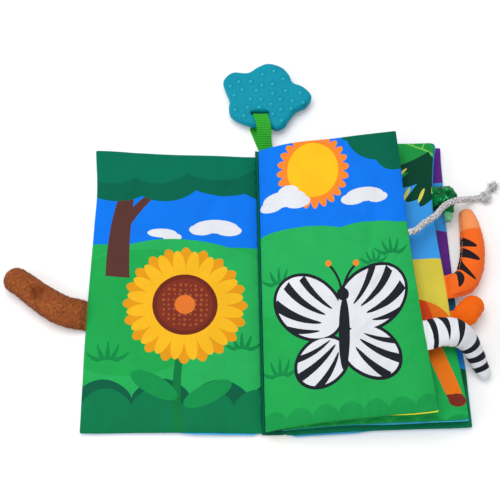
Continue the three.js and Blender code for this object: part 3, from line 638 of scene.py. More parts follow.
def woven(name, ground, picture):
    """Printed plain-woven polyester: inks a little uneven, a faint satin gleam, and a weave that
    repeats every 2.4 mm, about four times the real repeat, so that it shows."""
    made, tree, shader = new_material(name, 0.7, Specular_IOR_Level=0.08)
    where = add(tree, "UVMap").outputs[0]
    axes = add(tree, "SeparateXYZ", where).outputs
    tone = colour(ground)
    for mask, code in picture(tree, where, axes[0], axes[1]):
        tone = add(tree, "Mix", mask, tone, colour(code), data_type="RGBA")
    weave = plain_weave(tree, axes, repeat=2.4)
    slub = add(tree, "Math", weave, add(tree, "TexNoise", where, 0.5, 3), operation="MULTIPLY")
    worn = add(tree, "TexNoise", where, 0.05, 4)
    shade = add(tree, "Math", worn, 0.24, 0.84, operation="MULTIPLY_ADD")
    shade = add(tree, "Math", slub, 0.12, shade, operation="MULTIPLY_ADD")
    tone = add(tree, "VectorMath", tone, shade, operation="SCALE")
    paint(tree, shader, tone, weave, 0.05)
    return made


def garden(tree, where, x, y):
    """A yellow sunflower under a big round-headed tree."""
    yield add(tree, "Math", y, 34.0, operation="GREATER_THAN"), "#0a78f0"
    yield spots(tree, where, (-34, 52, 18, 6), (-46, 49, 10, 5), (-24, 49, 11, 5)), "#e6e8ef"
    yield spots(tree, where, (-78, 45, 12, 4), (-70, 42, 8, 3.6)), "#e6e8ef"
    yield spot(tree, where, -60, -30, 100, 70, -4), "#27b05a"
    yield spot(tree, where, -96, -22, 70, 52, 8), "#1fa84f"
    yield stroke(tree, where, (-112, 6), (-106, 92), 19, 3, 0.25), "#5a3530"
    yield stroke(tree, where, (-110, 50), (-84, 82), 9, 2, 0.3), "#5a3530"
    crown = (-118, 98, 34, 26), (-78, 104, 36, 30), (-28, 110, 44, 30), (6, 102, 26, 24)
    yield spots(tree, where, *crown), "#00644b"
    yield spots(tree, where, (-122, 110, 30, 22), (-84, 120, 34, 30), (-34, 124, 40, 30)), "#007255"
    yield any_of(tree, tuft(tree, where, -116, -62, 13), tuft(tree, where, -14, -52, 12)), "#128a47"
    yield under(tree, x, y, -92, 15, 88, 0.6, True), "#0a5f43"
    yield under(tree, x, y, -98, 14, 76, 1.7, True), "#0b7a4b"
    yield stroke(tree, where, (-60, -122), (-58, -40), 6.5, 4, 0.1), "#0f7a3f"
    yield spots(tree, where, (-80, -82, 20, 7.5, -30), (-40, -88, 20, 7.5, 28)), "#15934d"
    yield bloom(tree, where, -58, -16, 49, 20, 0.26), "#e89c17"
    yield bloom(tree, where, -58, -16, 46, 20, 0.34, 1.57), "#f9bc22"
    yield spot(tree, where, -58, -16, 25.5, 25.5), "#6d2a1d"
    yield spot(tree, where, -58, -16, 22, 22), "#7f3122"
    seeds = add(tree, "TexVoronoi", where, {"Scale": 0.24, "Randomness": 0.25})
    seeds = add(tree, "Math", seeds, 0.3, operation="LESS_THAN")
    seeds = add(tree, "Math", seeds, spot(tree, where, -58, -16, 19.5, 19.5), operation="MULTIPLY")
    yield seeds, "#a8552e"
    yield spot(tree, where, -58, -16, 8, 8), "#e8792f"


def butterfly(tree, where, x, y):
    """A black and white butterfly over a lawn, with the sun behind a bank of cloud."""
    yield add(tree, "Math", y, 36.0, operation="GREATER_THAN"), "#0a78f0"
    yield bloom(tree, where, 52, 88, 34, 24, 0.2), "#ff8a2b"
    yield spot(tree, where, 52, 88, 24, 24), "#ffc31f"
    cloud = (24, 66, 20, 7), (12, 62, 11, 5.5), (36, 62, 12, 5.5), (28, 71, 10, 6)
    yield spots(tree, where, *cloud), "#e6e8ef"
    yield spots(tree, where, (98, 62, 17, 6), (87, 59, 11, 5), (109, 59, 10, 4.5)), "#e6e8ef"
    yield spots(tree, where, (116, 116, 30, 26), (96, 122, 18, 14), (128, 98, 18, 18)), "#00644b"
    yield spots(tree, where, (20, 6, 82, 34, 5), (110, 8, 60, 30, -8)), "#27b05a"
    tufts = ((116, 10, 12), (100, 4, 10), (16, -4, 12), (14, -76, 12))
    yield any_of(tree, *[tuft(tree, where, *one) for one in tufts]), "#128a47"
    wings = [(94, -24, 32, 22, 30), (40, -26, 30, 22, -40), (88, -66, 24, 18, -34), (48, -70, 21, 17, 26)]
    rim = 2.6
    rims = [(cx, cy, across + rim, high + rim, turn) for cx, cy, across, high, turn in wings]
    yield spots(tree, where, *rims), "#1e2129"
    white = spots(tree, where, *wings)
    yield white, "#e6e8ef"
    veins = [
        ((112, -2), (84, -30), 7, 3), ((122, -16), (88, -36), 8, 3), ((98, 2), (78, -28), 6, 2),
        ((122, -34), (92, -42), 6, 2), ((112, -74), (80, -56), 7, 2), ((100, -86), (76, -62), 7, 2),
        ((114, -60), (84, -52), 5, 2), ((22, -6), (54, -34), 7, -3), ((12, -20), (50, -40), 8, -3),
        ((36, -2), (60, -30), 6, -2), ((14, -38), (48, -46), 6, -2), ((28, -80), (60, -58), 7, -2),
        ((42, -90), (62, -64), 6, -2), ((26, -66), (56, -54), 5, -2),
    ]
    yield add(tree, "Math", strokes(tree, where, *veins), white, operation="MULTIPLY"), "#1e2129"
    yield spots(tree, where, (68, -50, 4.6, 29, -6), (70, -19, 5.2, 5.2)), "#1e2129"
    yield strokes(tree, where, ((71, -15), (84, 4), 2, 2, 0), ((69, -15), (60, 6), 2, -2, 0)), "#1e2129"
    yield spots(tree, where, (84, 5, 2.6, 2.6), (60, 7, 2.6, 2.6)), "#ff8a2b"
    yield under(tree, x, y, -110, 8, 40, 0.4, True), "#1a9b4c"


def seaside(tree, where, x, y):
    """A dune with a parasol, grass in front, palm fronds over it."""
    yield add(tree, "Math", y, 11.5, operation="GREATER_THAN"), "#3fa2f0"
    yield spots(tree, where, (40, 62, 18, 6.5), (28, 59, 10, 5), (52, 59, 10, 5)), "#e6e8ef"
    yield under(tree, x, y, -45, 2, 150, 2.2), "#1fae54"
    upper_half = add(tree, "Math", y, -46.0, operation="GREATER_THAN")
    shade = add(tree, "Math", spot(tree, where, 98, -45, 38, 25), upper_half, operation="MULTIPLY")
    yield shade, "#f4751f"
    gores = spots(tree, where, (86, -45, 12, 24), (112, -45, 8, 24))
    yield add(tree, "Math", shade, gores, operation="MULTIPLY"), "#e2481d"
    pole = stroke(tree, where, (113, -46), (127.2, -101), 13, 0, 0.05)
    yield pole, "#f57c1b"
    pole_foot = add(tree, "Math", y, -96.0, operation="LESS_THAN")
    pole_foot = add(tree, "Math", pole, pole_foot, operation="MULTIPLY")
    yield any_of(tree, pole_foot, spot(tree, where, 127.4, -100.5, 6.4, 5)), "#7f3122"
    yield any_of(tree, tuft(tree, where, 30, -60, 12), tuft(tree, where, 76, -82, 11)), "#0f8a43"
    yield spots(tree, where, (122, 102, 34, 22, -14), (94, 108, 28, 20, 12)), "#1f9a45"
    ribs = [((134, 104), (100, 120), 1.6, 0, 0.3), ((124, 108), (128, 122), 1.2, 0, 0.3),
            ((116, 112), (118, 124), 1.2, 0, 0.3)]
    yield strokes(tree, where, *ribs), "#7fd05a"
    fronds = [((140, 96), (111, 61), 21, 5), ((140, 92), (123, 56), 19, 3), ((142, 90), (135, 58), 17, 2),
              ((134, 98), (99, 75), 19, 5), ((132, 100), (92, 90), 13, 4)]
    yield strokes(tree, where, *fronds), "#06452f"
    tips = [(111.5, 67, 7, 1.5, 60), (124.5, 65.5, 6.5, 1.5, 66), (135, 72, 5.5, 1.4, 79),
            (105, 84, 9.5, 1.5, 41)]
    yield spots(tree, where, *tips), "#e8e25a"
    yield under(tree, x, y, -116, 5, 40, 0.4, True), "#18994b"


def evening(tree, where, x, y):
    """Hills and water in bands under a plum sky, and a low sun."""
    stars = add(tree, "Math", add(tree, "TexVoronoi", where, 0.06), 0.08, operation="LESS_THAN")
    high = add(tree, "Math", y, 92.0, operation="GREATER_THAN")
    yield add(tree, "Math", stars, high, operation="MULTIPLY"), "#e6e8ef"
    bands = ((80.4, 3, 130, 0.5, "#3fa2f0"), (74, 4, 70, 1.3, "#0f6b45"), (56, 3, 90, 0.2, "#3fa2f0"),
             (37, 4, 120, 2.0, "#652d8e"), (-3, 5, 100, 0.4, "#2b6c98"), (-54, 4, 80, 1.0, "#2590ea"),
             (-78, 5, 110, 0.8, "#0d6038"))
    for level, swing, wave, shift, code in bands:
        yield under(tree, x, y, level, swing, wave, shift), code
    yield spot(tree, where, 48, -22, 20, 20), "#ffc31f"
    yield under(tree, x, y, -90, 8, 46, 0.6, True), "#0b7a50"


def clouds(tree, where, x, y):
    """Clouds in a blue sky, with sand along the foot."""
    for cx, cy in ((40, 78), (92, 22), (44, -34), (100, -76)):
        puffs = (cx, cy, 19, 7), (cx - 12, cy - 3, 11, 5), (cx + 12, cy - 3, 11, 5)
        yield spots(tree, where, *puffs), "#e6e8ef"
    yield under(tree, x, y, -108, 5, 90, 0.5), "#f0ee45"


def lagoon(tree, where, x, y):
    """Still water in bands, with floating leaves."""
    for level, code in ((70, "#2aa9d8"), (20, "#1f9bd0"), (-34, "#2aa9d8"), (-84, "#45b5e8")):
        yield under(tree, x, y, level, 6, 70, level), code
    for cx, cy in ((36, 84), (96, 46), (40, -8), (98, -52)):
        notch = stroke(tree, where, (cx, cy), (cx + 22, cy + 8), 9, 0, -0.6)
        uncut = add(tree, "Math", 1.0, notch, operation="SUBTRACT")
        leaf = spot(tree, where, cx, cy, 17, 13)
        yield add(tree, "Math", leaf, uncut, operation="MULTIPLY"), "#1fa84f"


def waves(tree, where, x, y):
    """Rows of scalloped waves with a sun above them."""
    yield spots(tree, where, (80, 78, 22, 22), (-80, 78, 22, 22)), "#ffc31f"
    for row, code in enumerate(("#0b72b3", "#0f7fbf", "#1f8dc8", "#1f9bd0", "#45b5e8")):
        yield under(tree, x, y, 40 - 36 * row, 10, 44, 0.9 * row, True), code


finishes = {
    "front_upper": ("meadow_print", woven("printed polyester, garden", "#22ab52", garden)),
    "first_upper": ("meadow_print", woven("printed polyester, butterfly", "#22ab52", butterfly)),
    "second_upper": ("dune_print", woven("printed polyester, seaside", "#e4d34b", seaside)),
    "back_upper": ("plum_print", woven("printed polyester, evening", "#652d8e", evening)),
    "first_lower": ("sky_print", woven("printed polyester, clouds", "#1b7ee8", clouds)),
    "second_lower": ("sky_print", woven("printed polyester, lagoon", "#1f8dc8", lagoon)),
    "front_lower": ("cover_print", woven("printed polyester, waves", "#35b8e0", waves)),
}
finishes["back_lower"] = finishes["front_lower"]
for name, (slot_name, finish) in finishes.items():
    finish_piece(panels[name], finish, slot_name)


# Spine cloth and inner fold: dull plain-woven green strips. The outer one joins the covers; on the
# book it bends when the front cover closes, here it keeps its open shape. The inner one is stitched
# along the spine and cradles the inner sheet's fold. The weave repeats every 1.3 mm, about twice
# the real repeat, so it shows.
def strip(name, profile, thickness, reach, seed):
    """Cloth along the spine from a line of (x, z) places, thick to both sides of it."""
    line, steps = np.array(profile, float), 150
    ahead = unit(np.gradient(line, axis=0))
    out = np.stack([-ahead[:, 1], ahead[:, 0]], 1)
    y = np.linspace(-reach, reach, steps)[:, None]
    ripple = 0.05 * rumple(np.arange(len(line))[None] * 1.5, y, 14, seed)
    faces = []
    for way in (0.5, -0.5):
        shift = way * np.asarray(thickness) + ripple
        x, z = line[None, :, 0] + shift * out[None, :, 0], line[None, :, 1] + shift * out[None, :, 1]
        faces.append(np.stack([x, np.broadcast_to(y, x.shape), np.maximum(z, 0.02)], -1))
    uv = np.stack([share.ravel() for share in np.broadcast_arrays(run_of(line), y)], 1)
    return cloth_between(name, faces[0], faces[1], uv)


spine_cloth, tree, shader = new_material("dyed plain-woven polyester", 0.8, Specular_IOR_Level=0.1)
where = add(tree, "UVMap").outputs[0]
axes = add(tree, "SeparateXYZ", where).outputs
weave = plain_weave(tree, axes, repeat=1.3)
fade = add(tree, "TexNoise", where, 0.08, 4)
tone = add(tree, "Mix", fade.outputs[0], colour("#075c46"), colour("#0b7358"), data_type="RGBA")
paint(tree, shader, tone, weave, 0.05)

hinge_x, hinge_z, bend_step = 8.5, 2.35, 0.05
rise = [(hinge_x, hinge_z), (7.4, 1.75), (6.2, 1.1), (5.2, 0.62), (4.3, 0.42)]
hinge_line = [(hinge_x + bend_step * k, hinge_z) for k in range(16, 0, -1)]
hinge_line += [*rise, (2, 0.4), (0, 0.4), (-2, 0.4), *[(-x, z) for x, z in rise[::-1]]]
hinge_line += [(-hinge_x - bend_step * k, hinge_z) for k in range(1, 17)]
spine_thickness = 0.7 - 0.4 * smoothstep(7.4, 8.6, np.abs(np.array(hinge_line)[:, 0]))
spine_strip = strip("spine_cloth_strip", hinge_line, spine_thickness, reach=117.9, seed=61)
finish_piece(spine_strip, spine_cloth, "spine_print", None, "spine_cloth")
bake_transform(spine_strip)

fold_radius, fold_z = 8.4, 9.85
fold_turns = np.radians(np.linspace(205.5, 317, 40))
fold_line = np.stack([fold_radius * np.cos(fold_turns), fold_z + fold_radius * np.sin(fold_turns)], 1)
fold_strip = strip("inner_fold_strip", fold_line, thickness=0.6, reach=114.6, seed=62)
finish_piece(fold_strip, spine_cloth, "spine_print", "spine_and_back_cover", "inner_sheet_fold")

# Spine stitching: one row of green thread sews the inner fold through to the spine cloth. It is
# spun polyester, twisted, with light and dark bands painted slanting across it as light and shade on its
# plies.
stitch_gap, stitch_half, stitch_rise, fold_face, thread_radius = 4.0, 1.3, 0.34, 1.66, 0.22
arc = np.linspace(0, math.pi, 7)
stitches = []
for y in np.arange(-111, 112, stitch_gap):
    bow = np.stack([0 * arc, y + stitch_half * np.cos(arc), fold_face + stitch_rise * np.sin(arc)], 1)
    stitches.append(tube(bow, thread_radius, 6))
thread_row = new_piece("spine_stitches", *together(stitches))
thread_finish, tree, shader = new_material("spun polyester thread", 0.6, Sheen_Weight=0.2)
# Painted shading: the light and dark bands stand for light and shade on the twisted plies.
ply_relief_and_shade = add(tree, "TexWave", in_millimetres(tree), 1.2, 1.0, bands_direction="DIAGONAL")
tone = add(tree, "Mix", ply_relief_and_shade.outputs[1], colour("#0b6450"), colour("#2f9c7c"), data_type="RGBA")
paint(tree, shader, tone, ply_relief_and_shade.outputs[1], 0.1)
finish_piece(thread_row, thread_finish, "spine_print", "spine_and_back_cover")


# Stuffed tails: each is two pieces of cloth sewn down both sides, turned, stuffed with fibre and
# caught in the leaf's outer seam, flat there and plump a few millimetres out. The stuffing is
# loose white fibre, dull and tufted.
def undulate(points, size, seed, count=26):
    """Smooth seeded noise in space: waves in random directions, about a size long, added up."""
    rng = np.random.default_rng(seed)
    way = unit(rng.normal(size=(count, 3))) * (2 * math.pi / (size * rng.uniform(0.7, 1.5, (count, 1))))
    return np.sin(points @ way.T + rng.uniform(0, 6.3, count)).sum(-1) * math.sqrt(2 / count) * 0.5


tails = {
    "brown_plush": dict(
        leaf="front_cover", seat=-0.0966, reach=48, width=23, thickness=17,
        route=[(0, 0), (0.25, 0.03), (0.48, 0.12), (0.71, 0.27), (0.93, 0.44), (1.13, 0.585)],
        left=[0.51, 0.51, 0.49, 0.46, 0.43, 0.42], right=[0.52, 0.5, 0.49, 0.46, 0.43, 0.42],
        thick=[0.36, 0.8, 0.98, 1, 0.98, 0.94], lift=[0] * 6, seam=0.3),
    "white_striped": dict(
        leaf="first_leaf", seat=-0.2239, reach=46, width=23, thickness=14,
        route=[(0, 0), (0.24, 0.05), (0.48, 0.04), (0.66, -0.03), (0.8, -0.19), (0.91, -0.37),
               (0.98, -0.5)],
        left=[0.5, 0.5, 0.5, 0.4, 0.33, 0.28, 0.23], right=[0.5, 0.48, 0.48, 0.38, 0.32, 0.28, 0.23],
        thick=[0.45, 0.85, 1, 0.95, 0.86, 0.76, 0.68], lift=[1, 0.99, 0.93, 0.68, 0.34, 0.1, 0], seam=0.4),
    "orange_striped": dict(
        leaf="second_leaf", seat=-0.0357, reach=26, width=19.5, thickness=16,
        route=[(0, 0), (0.3, 0.08), (0.56, 0.25), (0.79, 0.64), (0.91, 1.1), (0.95, 1.6), (0.92, 2.1),
               (0.87, 2.4)],
        left=[0.49, 0.5, 0.52, 0.53, 0.55, 0.54, 0.46, 0.36],
        right=[0.49, 0.5, 0.52, 0.49, 0.45, 0.42, 0.36, 0.31],
        thick=[0.45, 0.75, 0.92, 1, 1, 0.95, 0.82, 0.7], lift=[1, 0.85, 0.35, 0, 0, 0, 0, 0], seam=0.7),
    "plain_orange": dict(
        leaf="second_leaf", seat=-0.1409, reach=22, width=20, thickness=12,
        route=[(0, 0), (0.2, 0.06), (0.4, 0.17), (0.6, 0.31), (0.76, 0.45)],
        left=[0.24, 0.34, 0.4, 0.43, 0.43], right=[0.3, 0.5, 0.56, 0.5, 0.43],
        thick=[0.42, 0.75, 1, 1, 0.85], lift=[1, 0.95, 0.85, 0.7, 0.6], seam=0.25),
    "green_satin": dict(
        leaf="second_leaf", seat=0.2957, reach=13, width=17, thickness=9,
        route=[(0, 0), (0.3, -0.02), (0.62, -0.16), (0.81, -0.56), (0.85, -0.98), (0.87, -1.26)],
        left=[0.5, 0.57, 0.78, 0.44, 0.3, 0.22], right=[0.5, 0.44, 0.35, 0.27, 0.24, 0.2],
        thick=[0.7, 1, 1, 0.92, 0.82, 0.72], lift=[1, 0.96, 0.84, 0.7, 0.6, 0.55], seam=0.5),
}


def tail_form(shape, inset=0.0, sides=48, steps=90, tip_rings=12):
    """A tail's rings of points, its outward directions, how far along the tail each ring lies,
    how far to the left each point lies, the turns round the middle line, and the tip.
    Thickness rises from the seam as a quarter circle 7 mm long; the tip is half a ball. The first
    two rings lie inside the leaf's edge, where the seam holds them."""
    leaf, side = shape["leaf"], leaves[shape["leaf"]]["side"]
    seat_y = shape["seat"] * leaves[leaf]["height"]
    seam = leaf_edge(leaf, seat_y)
    t = np.concatenate([[0, 0], np.linspace(0, 1, steps) ** 1.15])
    route = spline([(seam[0] + side * (0.6 + out * shape["reach"]), seat_y + up * shape["reach"], 0)
                    for out, up in shape["route"]], t)
    sizes = spline([(a * shape["width"], b * shape["width"], c * shape["thickness"] / 2)
                    for a, b, c in zip(shape["left"], shape["right"], shape["thick"])], t)
    lift = np.clip(spline([(0, 0, z) for z in shape["lift"]], t)[:, 2], 0, 1)
    along = run_of(route)
    pinch_run = 7
    pinch = np.sqrt(1 - (1 - np.clip(along / pinch_run, 0, 1)) ** 2) * 0.92 + 0.08
    pinch[:2] = 0.03
    sizes[:, 2] *= pinch
    rest = sizes[:, 2] + 0.3
    z = rest * (1 - lift) + seam[2] * lift
    route[:, 2] = np.maximum(seam[2] + (z - seam[2]) * smoothstep(0, 8, along), rest)
    ahead = np.gradient(route[2:], axis=0)
    ahead = unit(np.vstack([ahead[:1], ahead[:1], ahead]))
    turned = smoothstep(0, 4, along)[:, None]
    ahead = unit(ahead * turned + np.array([side, 0, 0]) * (1 - turned))
    sizes = np.maximum(sizes - inset, 0.12)
    tip = (sizes[-1, 0] + sizes[-1, 1]) / 2
    turn_in = np.linspace(0, math.pi / 2, tip_rings + 1)[1:-1]
    pole = route[-1] + ahead[-1] * tip
    centres = np.vstack([route, route[-1] + ahead[-1] * tip * np.sin(turn_in)[:, None]])
    sizes = np.vstack([sizes, sizes[-1] * np.cos(turn_in)[:, None]])
    ahead = np.vstack([ahead, np.repeat(ahead[-1:], tip_rings - 1, 0)])
    along = np.concatenate([along, along[-1] + tip * np.sin(turn_in)])
    across = unit(np.cross((0, 0, 1), ahead))
    over = unit(np.cross(ahead, across))
    turn = np.linspace(0, 2 * math.pi, sides, endpoint=False)
    cos, sin = np.cos(turn), np.sin(turn)
    wide = np.where(cos > 0, sizes[:, :1], sizes[:, 1:2])
    left, raised = wide * cos, sizes[:, 2:] * sin
    points = centres[:, None] + left[..., None] * across[:, None] + raised[..., None] * over[:, None]
    for ring, inward in ((0, 2.2), (1, 0.2)):
        edge = leaf_edge(leaf, points[ring, :, 1])
        points[ring, :, 0] = edge[:, 0] - side * inward
        points[ring, :, 2] += edge[:, 2] - centres[ring, 2]
    out = unit((cos / wide)[..., None] * across[:, None] + (sin / sizes[:, 2:])[..., None] * over[:, None])
    return points, out, along, left, turn, pole


def tail_piece(name, points, pole, along, left):
    """Closes a tail's rings with a cap at the seam and a pole at the tip."""
    rows, sides = points.shape[:2]
    last = (rows - 1) * sides + np.arange(sides)
    cone = np.stack([last, np.roll(last, -1), np.full(sides, rows * sides)], -1)
    faces = [*grid_faces(rows, sides, round_=True).tolist(), *cone.tolist(), list(range(sides))[::-1]]
    uv = np.stack([np.broadcast_to(along[:, None], left.shape).ravel(), left.ravel()], 1)
    return new_piece(name, np.vstack([points.reshape(-1, 3), pole]), faces, np.vstack([uv, [along[-1], 0]]))


def seam_line(turn, width):
    """1 on the two side seams, at turns 0 and half, falling off to both sides."""
    return np.exp(-((np.sin(turn) / width) ** 2))[None]


def hinge_tail(piece, name):
    """Finds the leaf's seam at the tail's seat and bakes the piece's placement into its points."""
    leaf = tails[name]["leaf"]
    seam = leaf_edge(leaf, tails[name]["seat"] * leaves[leaf]["height"])
    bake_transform(piece)


stuffing, tree, shader = new_material("polyester fibre stuffing", 1.0, Sheen_Weight=0.5)
fluff = add(tree, "TexNoise", in_millimetres(tree), 0.5, 8, 0.8)
tone = add(tree, "Mix", fluff.outputs[0], colour("#d9d6cf"), colour("#ffffff"), data_type="RGBA")
paint(tree, shader, tone, fluff, 1.0)

tail_covers, seams_on_top, fill_inset = {}, 0.39, 2.6
for number, (name, shape) in enumerate(tails.items()):
    points, out, along, left, turn, pole = tail_form(shape)
    near = along[:, None]
    sewn_at = turn
    if name == "orange_striped":
        sewn_at = np.where(np.cos(turn) > 0, turn - seams_on_top, turn + seams_on_top)
    height = -shape["seam"] * seam_line(sewn_at, 0.1) * smoothstep(1, 6, near)
    gathers = np.sin(turn * 9 + 1.5 * undulate(points, 18, 70 + number))
    height = height + 0.45 * gathers * np.exp(-near / 6) * smoothstep(0.5, 3, near)
    puckers = np.sin(near * 2 * math.pi / 5.5 + 2 * undulate(points, 25, 80 + number))
    height = height + 0.16 * puckers * seam_line(turn, 0.5) * smoothstep(3, 8, near)
    height = height + 0.22 * undulate(points, 13, 90 + number) * smoothstep(2, 8, near)
    if name == "brown_plush":
        slant = near - (43.5 - 0.9 * (left + 2))
        dent = 1.8 * np.exp(-((slant / 3.2) ** 2))
        height = height - dent * np.exp(-(((left - 2) / 6) ** 2)) * (np.sin(turn) > 0)
    if name == "white_striped":
        height = height - 0.5 * np.exp(-(((near - 24) / 2.5) ** 2)) * smoothstep(0, -8, left)
    if name == "orange_striped":
        height = height - 0.7 * np.exp(-(((near - 21) / 3) ** 2)) * smoothstep(2, 8, left)
    if name == "green_satin":
        ridges = 1 - np.abs(undulate(points, 8, 7, 20))
        height = height + (0.9 * ridges**3 - 0.5 + 0.08 * undulate(points, 5, 8)) * smoothstep(1, 4, near)
        height = height - 0.8 * np.exp(-(((near - 15) / 2) ** 2))
    points = points + out * height[..., None]
    points[..., 2] = np.maximum(points[..., 2], 0.25)
    cover = tail_piece(f"{name}_tail_cloth", points, pole, along, left)
    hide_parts(f"{name}_tail_cover")
    hinge_tail(cover, name)
    tail_covers[name] = (cover, points, out, along, turn)
    inner, out, along, left, _, pole = tail_form(shape, fill_inset, sides=24, steps=30, tip_rings=6)
    inner = inner[3:] + out[3:] * (0.25 * undulate(inner[3:], 6, 60 + number))[..., None]
    fill = tail_piece(f"{name}_tail_fill", inner, pole, along[3:], left[3:])
    finish_piece(fill, stuffing, "stuffing", f"{name}_tail", f"{name}_tail_stuffing")

# Brown tail: short-pile plush, a soft brown pile that catches light at its edges, with painted
# shade darkening it round the pressed dent. The pile is a fine coat of hairs about a millimetre
# long, each a three-sided spike that leans towards the tip.
plush, tree, shader = new_material(
    "short-pile plush", 0.95, Specular_IOR_Level=0.12, Sheen_Weight=0.12, Sheen_Roughness=0.5)
where = in_millimetres(tree)
tufts = add(tree, "TexNoise", where, 0.5, 5, 0.65)
crowded = add(tree, "MapRange", tufts.outputs[0], 0.28, 0.72)
pressed = add(tree, "TexNoise", where, 0.11, 2)
tone = add(tree, "Mix", crowded, colour("#7a3613"), colour("#c9773f"), data_type="RGBA")
share = add(tree, "Math", pressed, 0.3, operation="MULTIPLY")
tone = add(tree, "Mix", share, tone, colour("#a65527"), data_type="RGBA")
# Painted shade: the colour darkens round the dent, where shade falls in the pressed pile.
dent_shade_place = (-178.5, -7.5, 17)
off = add(tree, "VectorMath", where, dent_shade_place, operation="DISTANCE")
dent_shade = add(tree, "MapRange", off, 3.0, 8.5, 0.6, 0.0, interpolation_type="SMOOTHSTEP")
tone = add(tree, "Mix", dent_shade, tone, colour("#74300f"), data_type="RGBA")
paint(tree, shader, tone, tufts, 0.5)
cover, points, out, *_ = tail_covers["brown_plush"]
finish_piece(cover, plush, "brown_plush")

hair, hair_count, hair_radius, hair_root = np.random.default_rng(21), 17000, 0.13, 0.15
rows, sides = points.shape[:2]
bands = np.linalg.norm(np.diff(points, axis=0), axis=2).sum(1) * np.linalg.norm(
    points[1:] - np.roll(points[1:], -1, 1), axis=2).sum(1)
bands[:2] = 0
i = hair.choice(rows - 1, hair_count, p=bands / bands.sum())
k = hair.integers(0, sides, hair_count)
share_i, share_k = hair.uniform(0, 1, (2, hair_count, 1))
next_k = (k + 1) % sides


def sampled(grid):
    """The grid's value at each hair's root, between four points of the tail's cloth."""
    low = grid[i, k] * (1 - share_k) + grid[i, next_k] * share_k
    high = grid[i + 1, k] * (1 - share_k) + grid[i + 1, next_k] * share_k
    return low * (1 - share_i) + high * share_i


root, up = sampled(points), unit(sampled(out))
comb = unit(points[i + 1, k] - points[i, k])
grow = unit(up + 0.55 * comb + 0.45 * hair.normal(size=(hair_count, 3)))
beside = unit(np.cross(grow, up + 0.3 * comb + (0.01, 0.02, 0.03)))
behind = np.cross(grow, beside)
length = hair.uniform(0.8, 1.4, (hair_count, 1))
thirds = 0, 2.094, 4.189
feet = [root - hair_root * up + hair_radius * (math.cos(a) * beside + math.sin(a) * behind) for a in thirds]
hairs = np.stack([*feet, root + grow * length], 1).reshape(-1, 3)
hairs[:, 2] = np.maximum(hairs[:, 2], 0.2)
base = np.arange(hair_count)[:, None] * 4
hair_faces = np.concatenate([base + corners for corners in ((0, 1, 3), (1, 2, 3), (2, 0, 3), (2, 1, 0))])
pile = new_piece("brown_plush_tail_pile", hairs, hair_faces)
finish_piece(pile, plush, "brown_plush")
hinge_tail(pile, "brown_plush")


def dyed_tail(name, slot, title, picture, ground, roughness, sheen, knit, depth):
    """Dyed stretch cloth with its printed stripes, on the tail's own length and left-right."""
    made, tree, shader = new_material(
        title, roughness, Specular_IOR_Level=0.15, Sheen_Weight=sheen, Sheen_Roughness=0.4)
    where = add(tree, "UVMap").outputs[0]
    axes = add(tree, "SeparateXYZ", where).outputs
    tone = ground(tree, axes[0])
    for mask, code in picture(tree, where):
        tone = add(tree, "Mix", mask, tone, colour(code), data_type="RGBA")
    place = in_millimetres(tree)
    grain = add(tree, "TexNoise", place, knit, 4, 0.7)
    worn = add(tree, "TexNoise", place, 0.1, 3)
    grained = add(tree, "Math", grain, 0.16, 0.84, operation="MULTIPLY_ADD")
    worn = add(tree, "Math", worn, 0.2, 0.92, operation="MULTIPLY_ADD")
    shade = add(tree, "Math", grained, worn, operation="MULTIPLY")
    tone = add(tree, "VectorMath", tone, shade, operation="SCALE")
    paint(tree, shader, tone, grain, depth)
    finish_piece(tail_covers[name][0], made, slot)


# White tail: brushed cotton jersey, soft and dull with a fine uneven grain, printed with black
# bands that taper across it.
def white_bands(tree, where):
    """Black strokes from the left seam towards the right one, each narrower as it goes."""
    yield strokes(
        tree, where, ((5.6, 12.5), (3.6, -13), 4.3, 1.6, 0.12), ((12.4, 12.5), (16, -8), 5.6, 1.2, 0.75),
        ((23.6, 12.5), (24.8, -13), 3.9, -0.5, 0.55), ((35, 9.5), (36, -12), 4.2, 1, 0.1),
        ((45.2, 9), (43.6, -11), 4.4, 0.8, 0.05), ((52.6, 8), (52.2, -10), 4.4, 0.8, 0.05)), "#191c24"


dyed_tail("white_striped", "white_jersey", "brushed cotton jersey", white_bands,
          lambda tree, along: colour("#eceef4"), roughness=0.85, sheen=0.08, knit=2.2, depth=0.08)


# Orange tail: stretch velour, lighter past a soft line near the tip, with black wedges from its
# inner side, closed by hand with small stitches: on its outer side near the leaf, then on its inner.
def orange_wedges(tree, where):
    """Black strokes from the inner side, which lean back towards the leaf."""
    yield strokes(
        tree, where, ((50.4, 11.5), (44.4, -1.2), 8.4, -0.8), ((39.8, 11.5), (34.2, -4.4), 8.6, -0.8),
        ((30.8, 12), (18.6, -6.6), 7.4, -4), ((14.6, 12), (6.4, -3.6), 8, 0.5)), "#1d1218"


def orange_ground(tree, along):
    """Orange, and past a soft line paler."""
    tip = add(tree, "MapRange", along, 58.6, 61.4, interpolation_type="SMOOTHSTEP")
    return add(tree, "Mix", tip, colour("#ff6e1e"), colour("#ff9a5c"), data_type="RGBA")


dyed_tail("orange_striped", "orange_velour", "stretch velour", orange_wedges, orange_ground,
          roughness=0.8, sheen=0.2, knit=1.6, depth=0.12)

